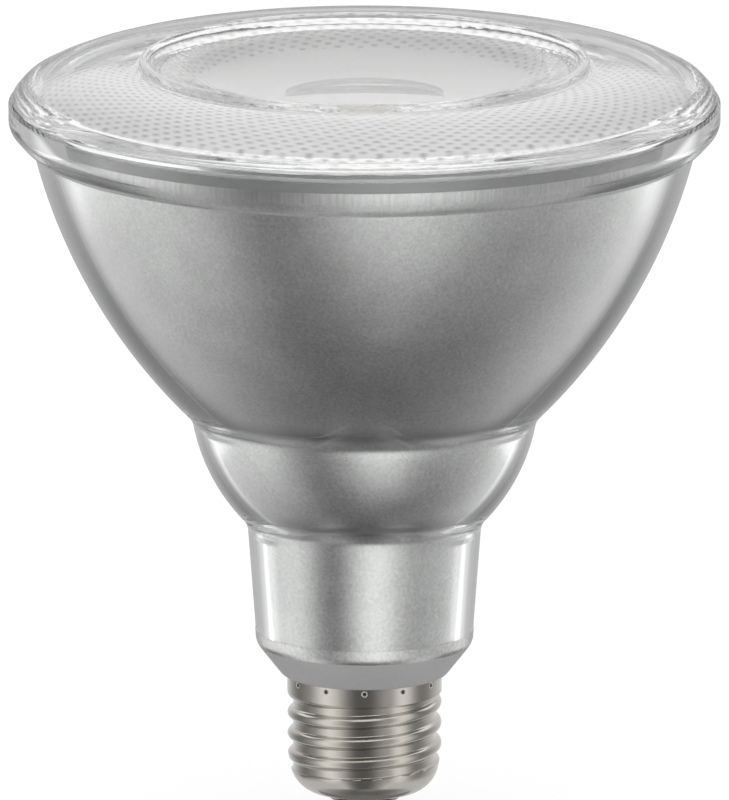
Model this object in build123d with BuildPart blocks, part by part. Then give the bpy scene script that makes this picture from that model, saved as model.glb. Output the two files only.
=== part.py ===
from build123d import *
import os
from math import ceil, sqrt

os.makedirs("parts", exist_ok=True)

# Screw cap: a nickel-plated sheet shell with a rolled right-hand thread, seven turns to the inch.
# Heights are measured up from the face of the centre contact, part turns from +X.
THREAD_RADIUS = 13.12
THREAD_PITCH = 3.629
THREAD_DEPTH = 0.95
THREAD_END_TURN = 0.839
CAP_SHEET = 0.35
CAP_LENGTH = 24.0
CAP_FOOT_Z = 3.9
COLLAR_HEIGHT = 3.6
STAKE_COUNT = 12
STAKE_RADIUS = 0.55
STAKE_DEPTH = 0.22

# Glass envelope: chamfered end, tapered neck, two bowls and a flange.
GLASS_WALL = 2.8
CHAMFER_RISE = 5.5
NECK_LENGTH = 20.7
NECK_TAPER = 1.55
LOWER_BOWL_HEIGHT = 18.4
LOWER_BOWL_CURVE = 32.7
UPPER_BOWL_HEIGHT = 46.9
UPPER_BOWL_CURVE = 97.7
FLANGE_HEIGHT = 8.0
FLANGE_WIDTH = 4.15
RIM_RADIUS = 60.325
SHOULDER_RADIUS = 29.35

# Front lens: rim edge, dome band, raised lip, dished well with a flat floor, collimator cone.
LENS_THICKNESS = 3.3
LENS_EDGE_RISE = 2.9
LENS_EDGE_SLOPE = 2.1
DOME_RISE = 6.1
LIP_RADIUS = 37.4
LIP_RISE = 1.2
WELL_DEPTH = 6.8
WELL_FLOOR_RADIUS = 18.2
COLLIMATOR_DEPTH = 24.7
COLLIMATOR_FOOT_RADIUS = 9.0
POCKET_RADIUS = 6.4

# Light engine under the collimator, from the top down.
EMITTER_RADIUS = 4.6
EMITTER_HEIGHT = 0.3
CARRIER_WIDTH = 13.4
CARRIER_HEIGHT = 1.0
LED_BOARD_RADIUS = 18.0
LED_BOARD_THICKNESS = 1.6
PAD_THICKNESS = 0.5
PEDESTAL_WALL = 2.0

# Sheets, walls and running clearances.
HEAT_SHEET = 0.8
HOUSING_WALL = 1.2
HOUSING_SHOULDER = 1.55
HOLDER_WALL = 1.2
LEAD_RADIUS = 0.6
SLIP = 0.25
SEAT = 0.1
FINE = 0.05

# Radii that follow from the cap outward to the neck.
COLLAR_RADIUS = THREAD_RADIUS + FINE
SPIGOT_RADIUS = COLLAR_RADIUS - CAP_SHEET - SEAT
PLUG_RADIUS = THREAD_RADIUS - THREAD_DEPTH - CAP_SHEET - SEAT
HOUSING_RADIUS = SPIGOT_RADIUS + HOUSING_SHOULDER
HOUSING_BORE = HOUSING_RADIUS - HOUSING_WALL
PLUG_BORE = PLUG_RADIUS - HOUSING_WALL
NECK_FOOT_RADIUS = HOUSING_RADIUS + SLIP + HEAT_SHEET + SLIP + GLASS_WALL
NECK_TOP_RADIUS = NECK_FOOT_RADIUS + NECK_TAPER
GLASS_BORE = SPIGOT_RADIUS + SLIP
NECK_END_RADIUS = GLASS_BORE + 0.4 * GLASS_WALL
BOWL_RIM_RADIUS = RIM_RADIUS - FLANGE_WIDTH

# Heights that follow from the cap upward to the lens.
COLLAR_FOOT_Z = CAP_LENGTH - COLLAR_HEIGHT
NECK_END_Z = CAP_LENGTH + SLIP
NECK_FOOT_Z = NECK_END_Z + CHAMFER_RISE
LOW_SHOULDER_Z = NECK_FOOT_Z + NECK_LENGTH
HIGH_SHOULDER_Z = LOW_SHOULDER_Z + LOWER_BOWL_HEIGHT
FLANGE_FOOT_Z = HIGH_SHOULDER_Z + UPPER_BOWL_HEIGHT
PARTING_Z = FLANGE_FOOT_Z + FLANGE_HEIGHT
COLLIMATOR_FOOT_Z = PARTING_Z - COLLIMATOR_DEPTH
CARRIER_Z = COLLIMATOR_FOOT_Z - SLIP - EMITTER_HEIGHT - CARRIER_HEIGHT
PAD_Z = CARRIER_Z - LED_BOARD_THICKNESS - PAD_THICKNESS


def bowl(low, high, curve):
    """Centre and radius of the wall arc through two profile points, bulging outward."""
    half_r = (high[0] - low[0]) / 2
    half_z = (high[1] - low[1]) / 2
    half = sqrt(half_r**2 + half_z**2)
    lean = sqrt(curve**2 - half**2) / half
    return low[0] + half_r - half_z * lean, low[1] + half_z + half_r * lean, curve


LOWER_BOWL = bowl(
    (NECK_TOP_RADIUS, LOW_SHOULDER_Z), (SHOULDER_RADIUS, HIGH_SHOULDER_Z), LOWER_BOWL_CURVE
)
UPPER_BOWL = bowl(
    (SHOULDER_RADIUS, HIGH_SHOULDER_Z), (BOWL_RIM_RADIUS, FLANGE_FOOT_Z), UPPER_BOWL_CURVE
)


def neck_radius(z, depth):
    """Radius of the neck wall at a height, at a depth below its outer face."""
    return NECK_FOOT_RADIUS + NECK_TAPER * (z - NECK_FOOT_Z) / NECK_LENGTH - depth


def bowl_radius(arc, z, depth):
    """Radius of a bowl wall at a height, at a depth below its outer face."""
    return arc[0] + sqrt((arc[2] - depth) ** 2 - (z - arc[1]) ** 2)


def corner(below, above, low, high):
    """Height where the wall line above starts to lie outside the wall line below."""
    for _ in range(50):
        middle = (low + high) / 2
        if above(middle) > below(middle):
            high = middle
        else:
            low = middle
    return high


def wall_line(depth, start_z, end_z):
    """Neck, lower bowl and upper bowl of one wall face, drawn upward between two heights."""

    def neck(z):
        return neck_radius(z, depth)

    def lower(z):
        return bowl_radius(LOWER_BOWL, z, depth)

    def upper(z):
        return bowl_radius(UPPER_BOWL, z, depth)

    low = corner(neck, lower, LOW_SHOULDER_Z - GLASS_WALL, HIGH_SHOULDER_Z)
    high = corner(lower, upper, low, FLANGE_FOOT_Z)
    lower_middle = (low + high) / 2
    upper_middle = (high + end_z) / 2
    Line((neck(start_z), start_z), (neck(low), low))
    ThreePointArc((neck(low), low), (lower(lower_middle), lower_middle), (lower(high), high))
    ThreePointArc((lower(high), high), (upper(upper_middle), upper_middle), (upper(end_z), end_z))
    return (neck(start_z), start_z), (upper(end_z), end_z)


# Screw shell
CREST_RADIUS = 0.29 * THREAD_PITCH
ROOT_RADIUS = 0.19 * THREAD_PITCH
ROOT_DIP = 0.08
THREAD_END_Z = COLLAR_FOOT_Z + 0.45 * COLLAR_HEIGHT
THREAD_TURNS = ceil((THREAD_END_Z - CAP_FOOT_Z) / THREAD_PITCH) + THREAD_END_TURN
THREAD_START_Z = THREAD_END_Z - THREAD_TURNS * THREAD_PITCH
COLLAR_ROLL = 0.6
FOOT_RADIUS = THREAD_RADIUS - 3.5
FOOT_OPENING = FOOT_RADIUS - 1.6
RUNOUT = ((1.4, 1.75), (0.55, 3.7), (-0.2, 7.8))


def screw_plug(inset):
    """Solid inside the threaded skin, inset below its outer face."""
    crest = THREAD_RADIUS - inset
    root = crest - THREAD_DEPTH
    collar = COLLAR_RADIUS - inset
    top_z = CAP_LENGTH + inset
    foot_z = CAP_FOOT_Z + inset
    sum_radius = CREST_RADIUS + ROOT_RADIUS
    rise = THREAD_DEPTH + ROOT_DIP
    reach = sqrt(sum_radius**2 - (sum_radius - rise) ** 2)
    join = (crest - CREST_RADIUS + (sum_radius - rise) * CREST_RADIUS / sum_radius,
            reach * CREST_RADIUS / sum_radius)
    toe = root - ROOT_DIP
    heel = toe - 2 * CAP_SHEET
    outside = crest + THREAD_PITCH
    tail_z = -2 * THREAD_PITCH
    with BuildPart() as plug:
        with BuildSketch(Plane.XZ):
            with BuildLine():
                Polyline((0, tail_z), (root, tail_z), (root, COLLAR_FOOT_Z),
                         (collar, COLLAR_FOOT_Z + COLLAR_ROLL), (collar, top_z), (0, top_z), (0, tail_z))
            make_face()
        revolve(axis=Axis.Z)
        with BuildLine() as path:
            Helix(THREAD_PITCH, THREAD_END_Z - THREAD_START_Z, toe, center=(0, 0, THREAD_START_Z))
        with BuildSketch(Plane(origin=(0, 0, THREAD_START_Z), x_dir=(1, 0, 0), z_dir=(0, -1, 0))) as rib:
            with BuildLine():
                RadiusArc((toe, -reach), (join[0], -join[1]), ROOT_RADIUS)
                ThreePointArc((join[0], -join[1]), (crest, 0), join)
                RadiusArc(join, (toe, reach), ROOT_RADIUS)
                Polyline((toe, reach), (heel, reach), (heel, -reach), (toe, -reach))
            make_face()
        sweep(sections=rib.sketch, path=path.line, is_frenet=True)
        with BuildSketch(Plane.XZ):
            arc_middle, arc_end, cone_end = [(crest - r, foot_z + z) for r, z in RUNOUT]
            with BuildLine():
                ThreePointArc((FOOT_RADIUS - inset, foot_z), arc_middle, arc_end)
                Polyline(arc_end, cone_end, (outside, cone_end[1]), (outside, -outside), (0, -outside),
                         (0, foot_z), (FOOT_RADIUS - inset, foot_z))
            make_face()
        revolve(axis=Axis.Z, mode=Mode.SUBTRACT)
    return plug.part


with BuildPart() as screw_shell:
    add(screw_plug(0))
    add(screw_plug(CAP_SHEET), mode=Mode.SUBTRACT)
    Cylinder(FOOT_OPENING, CAP_LENGTH, mode=Mode.SUBTRACT)
    with Locations((0, 0, CAP_LENGTH - STAKE_RADIUS - 0.5 * CAP_SHEET)):
        with PolarLocations(COLLAR_RADIUS + STAKE_RADIUS - STAKE_DEPTH, STAKE_COUNT, start_angle=-90):
            Sphere(STAKE_RADIUS, mode=Mode.SUBTRACT)
screw_shell.part.label = "screw_shell"
export_step(screw_shell.part, "parts/screw_shell.step")

# Insulator in the open foot of the shell, and the centre contact riveted through it
INSULATOR_Z = 1.8
INSULATOR_TOP_Z = CAP_FOOT_Z + CAP_SHEET + 1.5
INSULATOR_RADIUS = FOOT_OPENING - SEAT
CONTACT_RADIUS = 4.7
CONTACT_EDGE = 0.7
RIVET_RADIUS = 1.4
with BuildPart() as base_insulator:
    with BuildSketch(Plane.XZ):
        with BuildLine():
            Polyline(
                (RIVET_RADIUS + FINE, INSULATOR_Z), (CONTACT_RADIUS + CONTACT_EDGE, INSULATOR_Z),
                (INSULATOR_RADIUS, CAP_FOOT_Z), (INSULATOR_RADIUS, CAP_FOOT_Z + CAP_SHEET + FINE),
                (FOOT_RADIUS - CAP_SHEET - SEAT, CAP_FOOT_Z + CAP_SHEET + FINE),
                (FOOT_RADIUS - CAP_SHEET - SEAT, INSULATOR_TOP_Z), (RIVET_RADIUS + FINE, INSULATOR_TOP_Z),
                (RIVET_RADIUS + FINE, INSULATOR_Z),
            )
        make_face()
    revolve(axis=Axis.Z)
base_insulator.part.label = "base_insulator"
export_step(base_insulator.part, "parts/base_insulator.step")

RIVET_HEAD_RADIUS = 2.2
RIVET_HEAD_HEIGHT = 0.6
with BuildPart() as centre_contact:
    with BuildSketch(Plane.XZ):
        with BuildLine():
            Line((0, 0), (CONTACT_RADIUS - CONTACT_EDGE, 0))
            RadiusArc((CONTACT_RADIUS - CONTACT_EDGE, 0), (CONTACT_RADIUS, CONTACT_EDGE), -CONTACT_EDGE)
            Polyline(
                (CONTACT_RADIUS, CONTACT_EDGE), (CONTACT_RADIUS, INSULATOR_Z), (RIVET_RADIUS, INSULATOR_Z),
                (RIVET_RADIUS, INSULATOR_TOP_Z), (RIVET_HEAD_RADIUS, INSULATOR_TOP_Z),
                (RIVET_HEAD_RADIUS, INSULATOR_TOP_Z + RIVET_HEAD_HEIGHT),
                (0, INSULATOR_TOP_Z + RIVET_HEAD_HEIGHT), (0, 0),
            )
        make_face()
    revolve(axis=Axis.Z)
centre_contact.part.label = "centre_contact"
export_step(centre_contact.part, "parts/centre_contact.step")

# Glass body: one wall line outside, one inside, joined by the flange and the chamfered neck end
CHAMFER_RUN = NECK_FOOT_RADIUS - NECK_END_RADIUS
CHAMFER_LENGTH = sqrt(CHAMFER_RUN**2 + CHAMFER_RISE**2)
CHAMFER_PITCH = CHAMFER_RISE / CHAMFER_RUN


def chamfer_z(radius, depth):
    """Height of the chamfered end's face at a radius, at a depth below its outer face."""
    return NECK_END_Z + CHAMFER_PITCH * (radius - NECK_END_RADIUS) + depth * CHAMFER_LENGTH / CHAMFER_RUN


INNER_NECK_Z = chamfer_z(NECK_FOOT_RADIUS - GLASS_WALL, GLASS_WALL)
INNER_NECK_RADIUS = neck_radius(INNER_NECK_Z, GLASS_WALL)
FLANGE_LAND_Z = PARTING_Z - 3.1
RIM_EDGE = 0.45
SEAL_RADIUS = RIM_RADIUS - 3.2
SEAL_WIDTH = 1.6
SEAL_HEIGHT = 0.9
with BuildPart() as glass_body:
    with BuildSketch(Plane.XZ):
        with BuildLine():
            foot, head = wall_line(0, NECK_FOOT_Z, FLANGE_FOOT_Z)
            Polyline(foot, (NECK_END_RADIUS, NECK_END_Z), (GLASS_BORE, NECK_END_Z),
                     (GLASS_BORE, chamfer_z(GLASS_BORE, GLASS_WALL)), (INNER_NECK_RADIUS, INNER_NECK_Z))
            inner_foot, inner_head = wall_line(GLASS_WALL, INNER_NECK_Z, PARTING_Z)
            Polyline(
                inner_head, (SEAL_RADIUS - SEAL_WIDTH / 2, PARTING_Z),
                (SEAL_RADIUS - SEAL_WIDTH / 2, PARTING_Z - SEAL_HEIGHT),
                (SEAL_RADIUS + SEAL_WIDTH / 2, PARTING_Z - SEAL_HEIGHT),
                (SEAL_RADIUS + SEAL_WIDTH / 2, PARTING_Z), (RIM_RADIUS - RIM_EDGE, PARTING_Z),
                (RIM_RADIUS, PARTING_Z - RIM_EDGE), (RIM_RADIUS, FLANGE_LAND_Z),
            )
            flange_edge = (RIM_RADIUS - 0.15 * FLANGE_WIDTH, PARTING_Z - 0.61 * FLANGE_HEIGHT)
            flange_under = (BOWL_RIM_RADIUS + 0.42 * FLANGE_WIDTH, PARTING_Z - 0.86 * FLANGE_HEIGHT)
            TangentArc((RIM_RADIUS, FLANGE_LAND_Z), flange_edge, tangent=(0, -1))
            Polyline(flange_edge, flange_under, head)
        make_face()
    revolve(axis=Axis.Z)
glass_body.part.label = "glass_body"
export_step(glass_body.part, "parts/glass_body.step")

# Silicone ring in the flange's groove
with BuildPart() as lens_seal:
    with BuildSketch(Plane.XZ):
        with Locations((SEAL_RADIUS, PARTING_Z - SEAL_HEIGHT / 2)):
            Rectangle(SEAL_WIDTH - 2 * FINE, SEAL_HEIGHT - 2 * FINE)
    revolve(axis=Axis.Z)
lens_seal.part.label = "lens_seal"
export_step(lens_seal.part, "parts/lens_seal.step")

# Satin aluminium heat shell standing just inside the glass, its foot turned in along the chamfer
SHELL_DEPTH = GLASS_WALL + SLIP
SHELL_INNER_DEPTH = SHELL_DEPTH + HEAT_SHEET
SHELL_FOOT_Z = INNER_NECK_Z + SLIP
SHELL_FOOT_RADIUS = HOUSING_RADIUS + SEAT
HOLDER_SEAT_Z = PARTING_Z - 2.2
with BuildPart() as heat_shell:
    with BuildSketch(Plane.XZ):
        with BuildLine():
            outer_foot, outer_head = wall_line(SHELL_DEPTH, SHELL_FOOT_Z, HOLDER_SEAT_Z)
            sheet_foot, sheet_head = wall_line(SHELL_INNER_DEPTH, SHELL_FOOT_Z + HEAT_SHEET, HOLDER_SEAT_Z)
            turned_in_z = outer_foot[1] - CHAMFER_PITCH * (outer_foot[0] - SHELL_FOOT_RADIUS)
            Polyline(outer_foot, (SHELL_FOOT_RADIUS, turned_in_z),
                     (SHELL_FOOT_RADIUS, SHELL_FOOT_Z + HEAT_SHEET), sheet_foot)
            Line(outer_head, sheet_head)
        make_face()
    revolve(axis=Axis.Z)
heat_shell.part.label = "heat_shell"
export_step(heat_shell.part, "parts/heat_shell.step")

# Front lens in section: rim, dome, lip, stepped well, floor, LED pocket, collimator, underside
LENS_RIM_RADIUS = RIM_RADIUS - RIM_EDGE
DOME_EDGE = (LENS_RIM_RADIUS - LENS_EDGE_SLOPE, PARTING_Z + LENS_EDGE_RISE)
LIP_BASE = (LIP_RADIUS + 0.8, PARTING_Z + DOME_RISE)
LIP_TOP_Z = PARTING_Z + DOME_RISE + LIP_RISE
LIP_INNER = (LIP_RADIUS - 1.0, LIP_TOP_Z - 0.8)
WELL_FLOOR_Z = LIP_TOP_Z - WELL_DEPTH
WELL_FALL = LIP_INNER[1] - WELL_FLOOR_Z
WELL_RUN = LIP_INNER[0] - WELL_FLOOR_RADIUS
WELL_STEPS = ((0.1, 0.26), (0.25, 0.35), (0.42, 0.6))
FLOOR_DISC_RADIUS = 0.75 * WELL_FLOOR_RADIUS
FLOOR_DISC_DEPTH = 0.3
POCKET_DEPTH = 0.45 * COLLIMATOR_DEPTH
POCKET_DRAFT = 0.5
COLLIMATOR_TOP = (LIP_RADIUS - 0.6, LIP_TOP_Z - LIP_RISE - LENS_THICKNESS)
UNDERSIDE_INNER = (LIP_RADIUS + 1.4, PARTING_Z + DOME_RISE - LENS_THICKNESS)
UNDERSIDE_OUTER = (inner_head[0] - SLIP, PARTING_Z + 0.15)
DOME_SHARE = 0.74
COLLIMATOR_BULGE = (0.545, 0.425)


def between(start, end, share_r, share_z):
    """Point at given shares of the way from one profile point to another."""
    return start[0] + share_r * (end[0] - start[0]), start[1] + share_z * (end[1] - start[1])


COLLIMATOR_FOOT = (COLLIMATOR_FOOT_RADIUS, COLLIMATOR_FOOT_Z)
COLLIMATOR_MIDDLE = between(COLLIMATOR_FOOT, COLLIMATOR_TOP, *COLLIMATOR_BULGE)
with BuildPart() as front_lens:
    with BuildSketch(Plane.XZ):
        with BuildLine():
            Line((UNDERSIDE_OUTER[0], PARTING_Z), (LENS_RIM_RADIUS, PARTING_Z))
            ThreePointArc((LENS_RIM_RADIUS, PARTING_Z),
                          between((LENS_RIM_RADIUS, PARTING_Z), DOME_EDGE, 0.44, 0.56), DOME_EDGE)
            ThreePointArc(DOME_EDGE, between(DOME_EDGE, LIP_BASE, 0.3, DOME_SHARE), LIP_BASE)
            ThreePointArc(LIP_BASE, (LIP_RADIUS, LIP_TOP_Z), LIP_INNER)
            well_wall = [(LIP_INNER[0] - r * WELL_RUN, LIP_INNER[1] - z * WELL_FALL) for r, z in WELL_STEPS]
            Polyline(
                LIP_INNER, *well_wall, (WELL_FLOOR_RADIUS, WELL_FLOOR_Z), (FLOOR_DISC_RADIUS, WELL_FLOOR_Z),
                (FLOOR_DISC_RADIUS, WELL_FLOOR_Z - FLOOR_DISC_DEPTH), (0, WELL_FLOOR_Z - FLOOR_DISC_DEPTH),
                (0, COLLIMATOR_FOOT_Z + POCKET_DEPTH),
            )
            pocket_top = (POCKET_RADIUS - POCKET_DRAFT, COLLIMATOR_FOOT_Z + 0.8 * POCKET_DEPTH)
            ThreePointArc((0, COLLIMATOR_FOOT_Z + POCKET_DEPTH),
                          (0.55 * POCKET_RADIUS, COLLIMATOR_FOOT_Z + 0.94 * POCKET_DEPTH), pocket_top)
            Polyline(pocket_top, (POCKET_RADIUS, COLLIMATOR_FOOT_Z), COLLIMATOR_FOOT)
            ThreePointArc(COLLIMATOR_FOOT, COLLIMATOR_MIDDLE, COLLIMATOR_TOP)
            Polyline(COLLIMATOR_TOP, UNDERSIDE_INNER, UNDERSIDE_OUTER, (UNDERSIDE_OUTER[0], PARTING_Z))
        make_face()
    revolve(axis=Axis.Z)
front_lens.part.label = "front_lens"
export_step(front_lens.part, "parts/front_lens.step")

# White holder: a cup round the collimator, a foot on the LED board, a flange on the heat shell's edge
HOLDER_TOP_Z = HOLDER_SEAT_Z + HOLDER_WALL
CUP_FOOT_RADIUS = COLLIMATOR_FOOT_RADIUS + 0.9
CUP_FOOT_WALL = 1.5
CUP_FOOT_HEIGHT = 1.4
HOLDER_RADIUS = sheet_head[0] + HEAT_SHEET / 2


def cup_outline(offset):
    """Collimator curve moved outward and down, closed to the lamp's axis."""
    low, middle, high = [
        (r + 0.7 * offset, z - 0.7 * offset)
        for r, z in (COLLIMATOR_FOOT, COLLIMATOR_MIDDLE, COLLIMATOR_TOP)
    ]
    ThreePointArc(low, middle, high)
    Polyline(high, (0, high[1]), (0, low[1]), low)
    return low


with BuildPart() as optic_holder:
    with BuildSketch(Plane.XZ):
        with BuildLine():
            cup_outline(SLIP + HOLDER_WALL)
        make_face()
        with Locations((0, HOLDER_TOP_Z)):
            Rectangle(RIM_RADIUS, LENS_THICKNESS + DOME_RISE, align=(Align.MIN, Align.MIN), mode=Mode.SUBTRACT)
        with Locations((0, HOLDER_SEAT_Z)):
            Rectangle(HOLDER_RADIUS, HOLDER_WALL, align=(Align.MIN, Align.MIN))
        with Locations((0, CARRIER_Z)):
            Rectangle(CUP_FOOT_RADIUS + CUP_FOOT_WALL, CUP_FOOT_HEIGHT, align=(Align.MIN, Align.MIN))
        with BuildLine():
            cup_foot = cup_outline(SLIP)
        make_face(mode=Mode.SUBTRACT)
        with Locations((0, CARRIER_Z)):
            Rectangle(CUP_FOOT_RADIUS, cup_foot[1] + SLIP - CARRIER_Z, align=(Align.MIN, Align.MIN),
                      mode=Mode.SUBTRACT)
    revolve(axis=Axis.Z)
optic_holder.part.label = "optic_holder"
export_step(optic_holder.part, "parts/optic_holder.step")

# Emitter: ceramic carrier and the phosphor disc on it
with BuildPart() as led_carrier:
    with Locations((0, 0, CARRIER_Z)):
        Box(CARRIER_WIDTH, CARRIER_WIDTH, CARRIER_HEIGHT, align=(Align.CENTER, Align.CENTER, Align.MIN))
    chamfer(led_carrier.edges().filter_by(Axis.Z), CARRIER_HEIGHT)
led_carrier.part.label = "led_carrier"
export_step(led_carrier.part, "parts/led_carrier.step")

with BuildPart() as phosphor_disc:
    with Locations((0, 0, CARRIER_Z + CARRIER_HEIGHT)):
        Cylinder(EMITTER_RADIUS, EMITTER_HEIGHT, align=(Align.CENTER, Align.CENTER, Align.MIN))
phosphor_disc.part.label = "phosphor_disc"
export_step(phosphor_disc.part, "parts/phosphor_disc.step")

# LED board, thermal pad and pedestal share the holes for two screws and two leads
SCREW_RADIUS = 1.25
SCREW_HEAD_RADIUS = 2.2
SCREW_HEAD_HEIGHT = 1.5
SCREW_CIRCLE = LED_BOARD_RADIUS - SCREW_HEAD_RADIUS - 1.2
LEAD_HOLE_RADIUS = LEAD_RADIUS + SLIP
LEAD_CIRCLE = LED_BOARD_RADIUS - 2.4
SCREW_SPOTS = [(0, SCREW_CIRCLE), (0, -SCREW_CIRCLE)]
LEAD_SPOTS = [(LEAD_CIRCLE, 0), (-LEAD_CIRCLE, 0)]
with BuildPart() as led_board:
    with BuildSketch(Plane.XY.offset(CARRIER_Z - LED_BOARD_THICKNESS)):
        Circle(LED_BOARD_RADIUS)
        with Locations(*SCREW_SPOTS):
            Circle(SCREW_RADIUS + SEAT, mode=Mode.SUBTRACT)
        with Locations(*LEAD_SPOTS):
            Circle(LEAD_HOLE_RADIUS, mode=Mode.SUBTRACT)
    extrude(amount=LED_BOARD_THICKNESS)
led_board.part.label = "led_board"
export_step(led_board.part, "parts/led_board.step")

with BuildPart() as thermal_pad:
    with BuildSketch(Plane.XY.offset(PAD_Z)):
        Circle(LED_BOARD_RADIUS - SLIP)
        with Locations(*SCREW_SPOTS):
            Circle(SCREW_RADIUS + SEAT, mode=Mode.SUBTRACT)
        with Locations(*LEAD_SPOTS):
            Circle(LEAD_HOLE_RADIUS, mode=Mode.SUBTRACT)
    extrude(amount=PAD_THICKNESS)
thermal_pad.part.label = "thermal_pad"
export_step(thermal_pad.part, "parts/thermal_pad.step")

PEDESTAL_RADIUS = LED_BOARD_RADIUS + 1.2
SEAT_DEPTH = SHELL_INNER_DEPTH + SEAT
SEAT_LOW_Z = HIGH_SHOULDER_Z + 0.15 * UPPER_BOWL_HEIGHT
SEAT_HIGH_Z = HIGH_SHOULDER_Z + 0.23 * UPPER_BOWL_HEIGHT
SEAT_LOW_RADIUS = bowl_radius(UPPER_BOWL, SEAT_LOW_Z, SEAT_DEPTH)
SEAT_HIGH_RADIUS = bowl_radius(UPPER_BOWL, SEAT_HIGH_Z, SEAT_DEPTH)
SKIRT_FOOT_RADIUS = SEAT_LOW_RADIUS - PEDESTAL_WALL
with BuildPart() as led_pedestal:
    with BuildSketch(Plane.XZ):
        with BuildLine():
            seat_middle_z = (SEAT_LOW_Z + SEAT_HIGH_Z) / 2
            Polyline(
                (SEAT_HIGH_RADIUS, SEAT_HIGH_Z), (SKIRT_FOOT_RADIUS, SEAT_HIGH_Z), (PEDESTAL_RADIUS, PAD_Z),
                (0, PAD_Z), (0, PAD_Z - PEDESTAL_WALL), (PEDESTAL_RADIUS - PEDESTAL_WALL, PAD_Z - PEDESTAL_WALL),
                (SKIRT_FOOT_RADIUS - PEDESTAL_WALL, SEAT_LOW_Z), (SEAT_LOW_RADIUS, SEAT_LOW_Z),
            )
            ThreePointArc((SEAT_LOW_RADIUS, SEAT_LOW_Z),
                          (bowl_radius(UPPER_BOWL, seat_middle_z, SEAT_DEPTH), seat_middle_z),
                          (SEAT_HIGH_RADIUS, SEAT_HIGH_Z))
        make_face()
    revolve(axis=Axis.Z)
    with BuildSketch(Plane.XY.offset(PAD_Z)):
        with Locations(*SCREW_SPOTS):
            Circle(SCREW_RADIUS + FINE)
        with Locations(*LEAD_SPOTS):
            Circle(LEAD_HOLE_RADIUS)
    extrude(amount=-2 * PEDESTAL_WALL, mode=Mode.SUBTRACT)
led_pedestal.part.label = "led_pedestal"
export_step(led_pedestal.part, "parts/led_pedestal.step")

# Two pan-head screws through board and pad into the pedestal
with BuildPart() as board_screws:
    with BuildSketch(Plane.XY.offset(CARRIER_Z)):
        with Locations(*SCREW_SPOTS):
            Circle(SCREW_HEAD_RADIUS)
    extrude(amount=SCREW_HEAD_HEIGHT)
    fillet(board_screws.faces().sort_by(Axis.Z)[-2:].edges(), 0.4 * SCREW_HEAD_HEIGHT)
    with BuildSketch(Plane.XY.offset(CARRIER_Z)):
        with Locations(*SCREW_SPOTS):
            Circle(SCREW_RADIUS)
    extrude(amount=PAD_Z - PEDESTAL_WALL - CARRIER_Z)
board_screws.part.label = "board_screws"
export_step(board_screws.part, "parts/board_screws.step")

# Driver housing: plug in the shell, spigot in the collar, shoulder on the glass chamfer, tube in the neck
PLUG_FOOT_Z = INSULATOR_TOP_Z + RIVET_HEAD_HEIGHT + 2.0
PLUG_TOP_Z = COLLAR_FOOT_Z + SEAT
SHOULDER_Z = chamfer_z(SPIGOT_RADIUS, GLASS_WALL + SEAT)
TUBE_FOOT_Z = chamfer_z(HOUSING_RADIUS, GLASS_WALL + SEAT)
TUBE_TOP_Z = LOW_SHOULDER_Z + 0.7 * LOWER_BOWL_HEIGHT
BORE_FOOT_Z = TUBE_FOOT_Z + SLIP
with BuildPart() as driver_housing:
    with BuildSketch(Plane.XZ):
        with BuildLine():
            Polyline(
                (PLUG_BORE, PLUG_FOOT_Z), (PLUG_RADIUS, PLUG_FOOT_Z), (PLUG_RADIUS, PLUG_TOP_Z),
                (SPIGOT_RADIUS, PLUG_TOP_Z + COLLAR_ROLL), (SPIGOT_RADIUS, SHOULDER_Z),
                (HOUSING_RADIUS, TUBE_FOOT_Z), (HOUSING_RADIUS, TUBE_TOP_Z), (HOUSING_BORE, TUBE_TOP_Z),
                (HOUSING_BORE, BORE_FOOT_Z + HOUSING_WALL), (PLUG_BORE, SHOULDER_Z - HOUSING_WALL),
                (PLUG_BORE, PLUG_FOOT_Z),
            )
        make_face()
    revolve(axis=Axis.Z)
driver_housing.part.label = "driver_housing"
export_step(driver_housing.part, "parts/driver_housing.step")

# Driver board on edge in the housing: a tongue in the plug and a wider part in the tube
BOARD_THICKNESS = 1.6
BOARD_FRONT_Y = 0.08 * HOUSING_BORE
BOARD_BACK_Y = BOARD_FRONT_Y + BOARD_THICKNESS
BOARD_HALF = sqrt((HOUSING_BORE - SLIP) ** 2 - BOARD_BACK_Y**2)
TONGUE_HALF = sqrt((PLUG_BORE - SLIP) ** 2 - BOARD_BACK_Y**2)
TONGUE_FOOT_Z = PLUG_FOOT_Z + 2.5
BOARD_FOOT_Z = BORE_FOOT_Z + HOUSING_WALL + SLIP
BOARD_TOP_Z = TUBE_TOP_Z - 2.0
with BuildPart() as driver_board:
    with BuildSketch(Plane.XZ.offset(-BOARD_BACK_Y)):
        with BuildLine():
            Polyline(
                (-TONGUE_HALF, TONGUE_FOOT_Z), (TONGUE_HALF, TONGUE_FOOT_Z), (TONGUE_HALF, BOARD_FOOT_Z),
                (BOARD_HALF, BOARD_FOOT_Z), (BOARD_HALF, BOARD_TOP_Z), (-BOARD_HALF, BOARD_TOP_Z),
                (-BOARD_HALF, BOARD_FOOT_Z), (-TONGUE_HALF, BOARD_FOOT_Z), (-TONGUE_HALF, TONGUE_FOOT_Z),
            )
        make_face()
    extrude(amount=BOARD_THICKNESS)
driver_board.part.label = "driver_board"
export_step(driver_board.part, "parts/driver_board.step")

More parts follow.
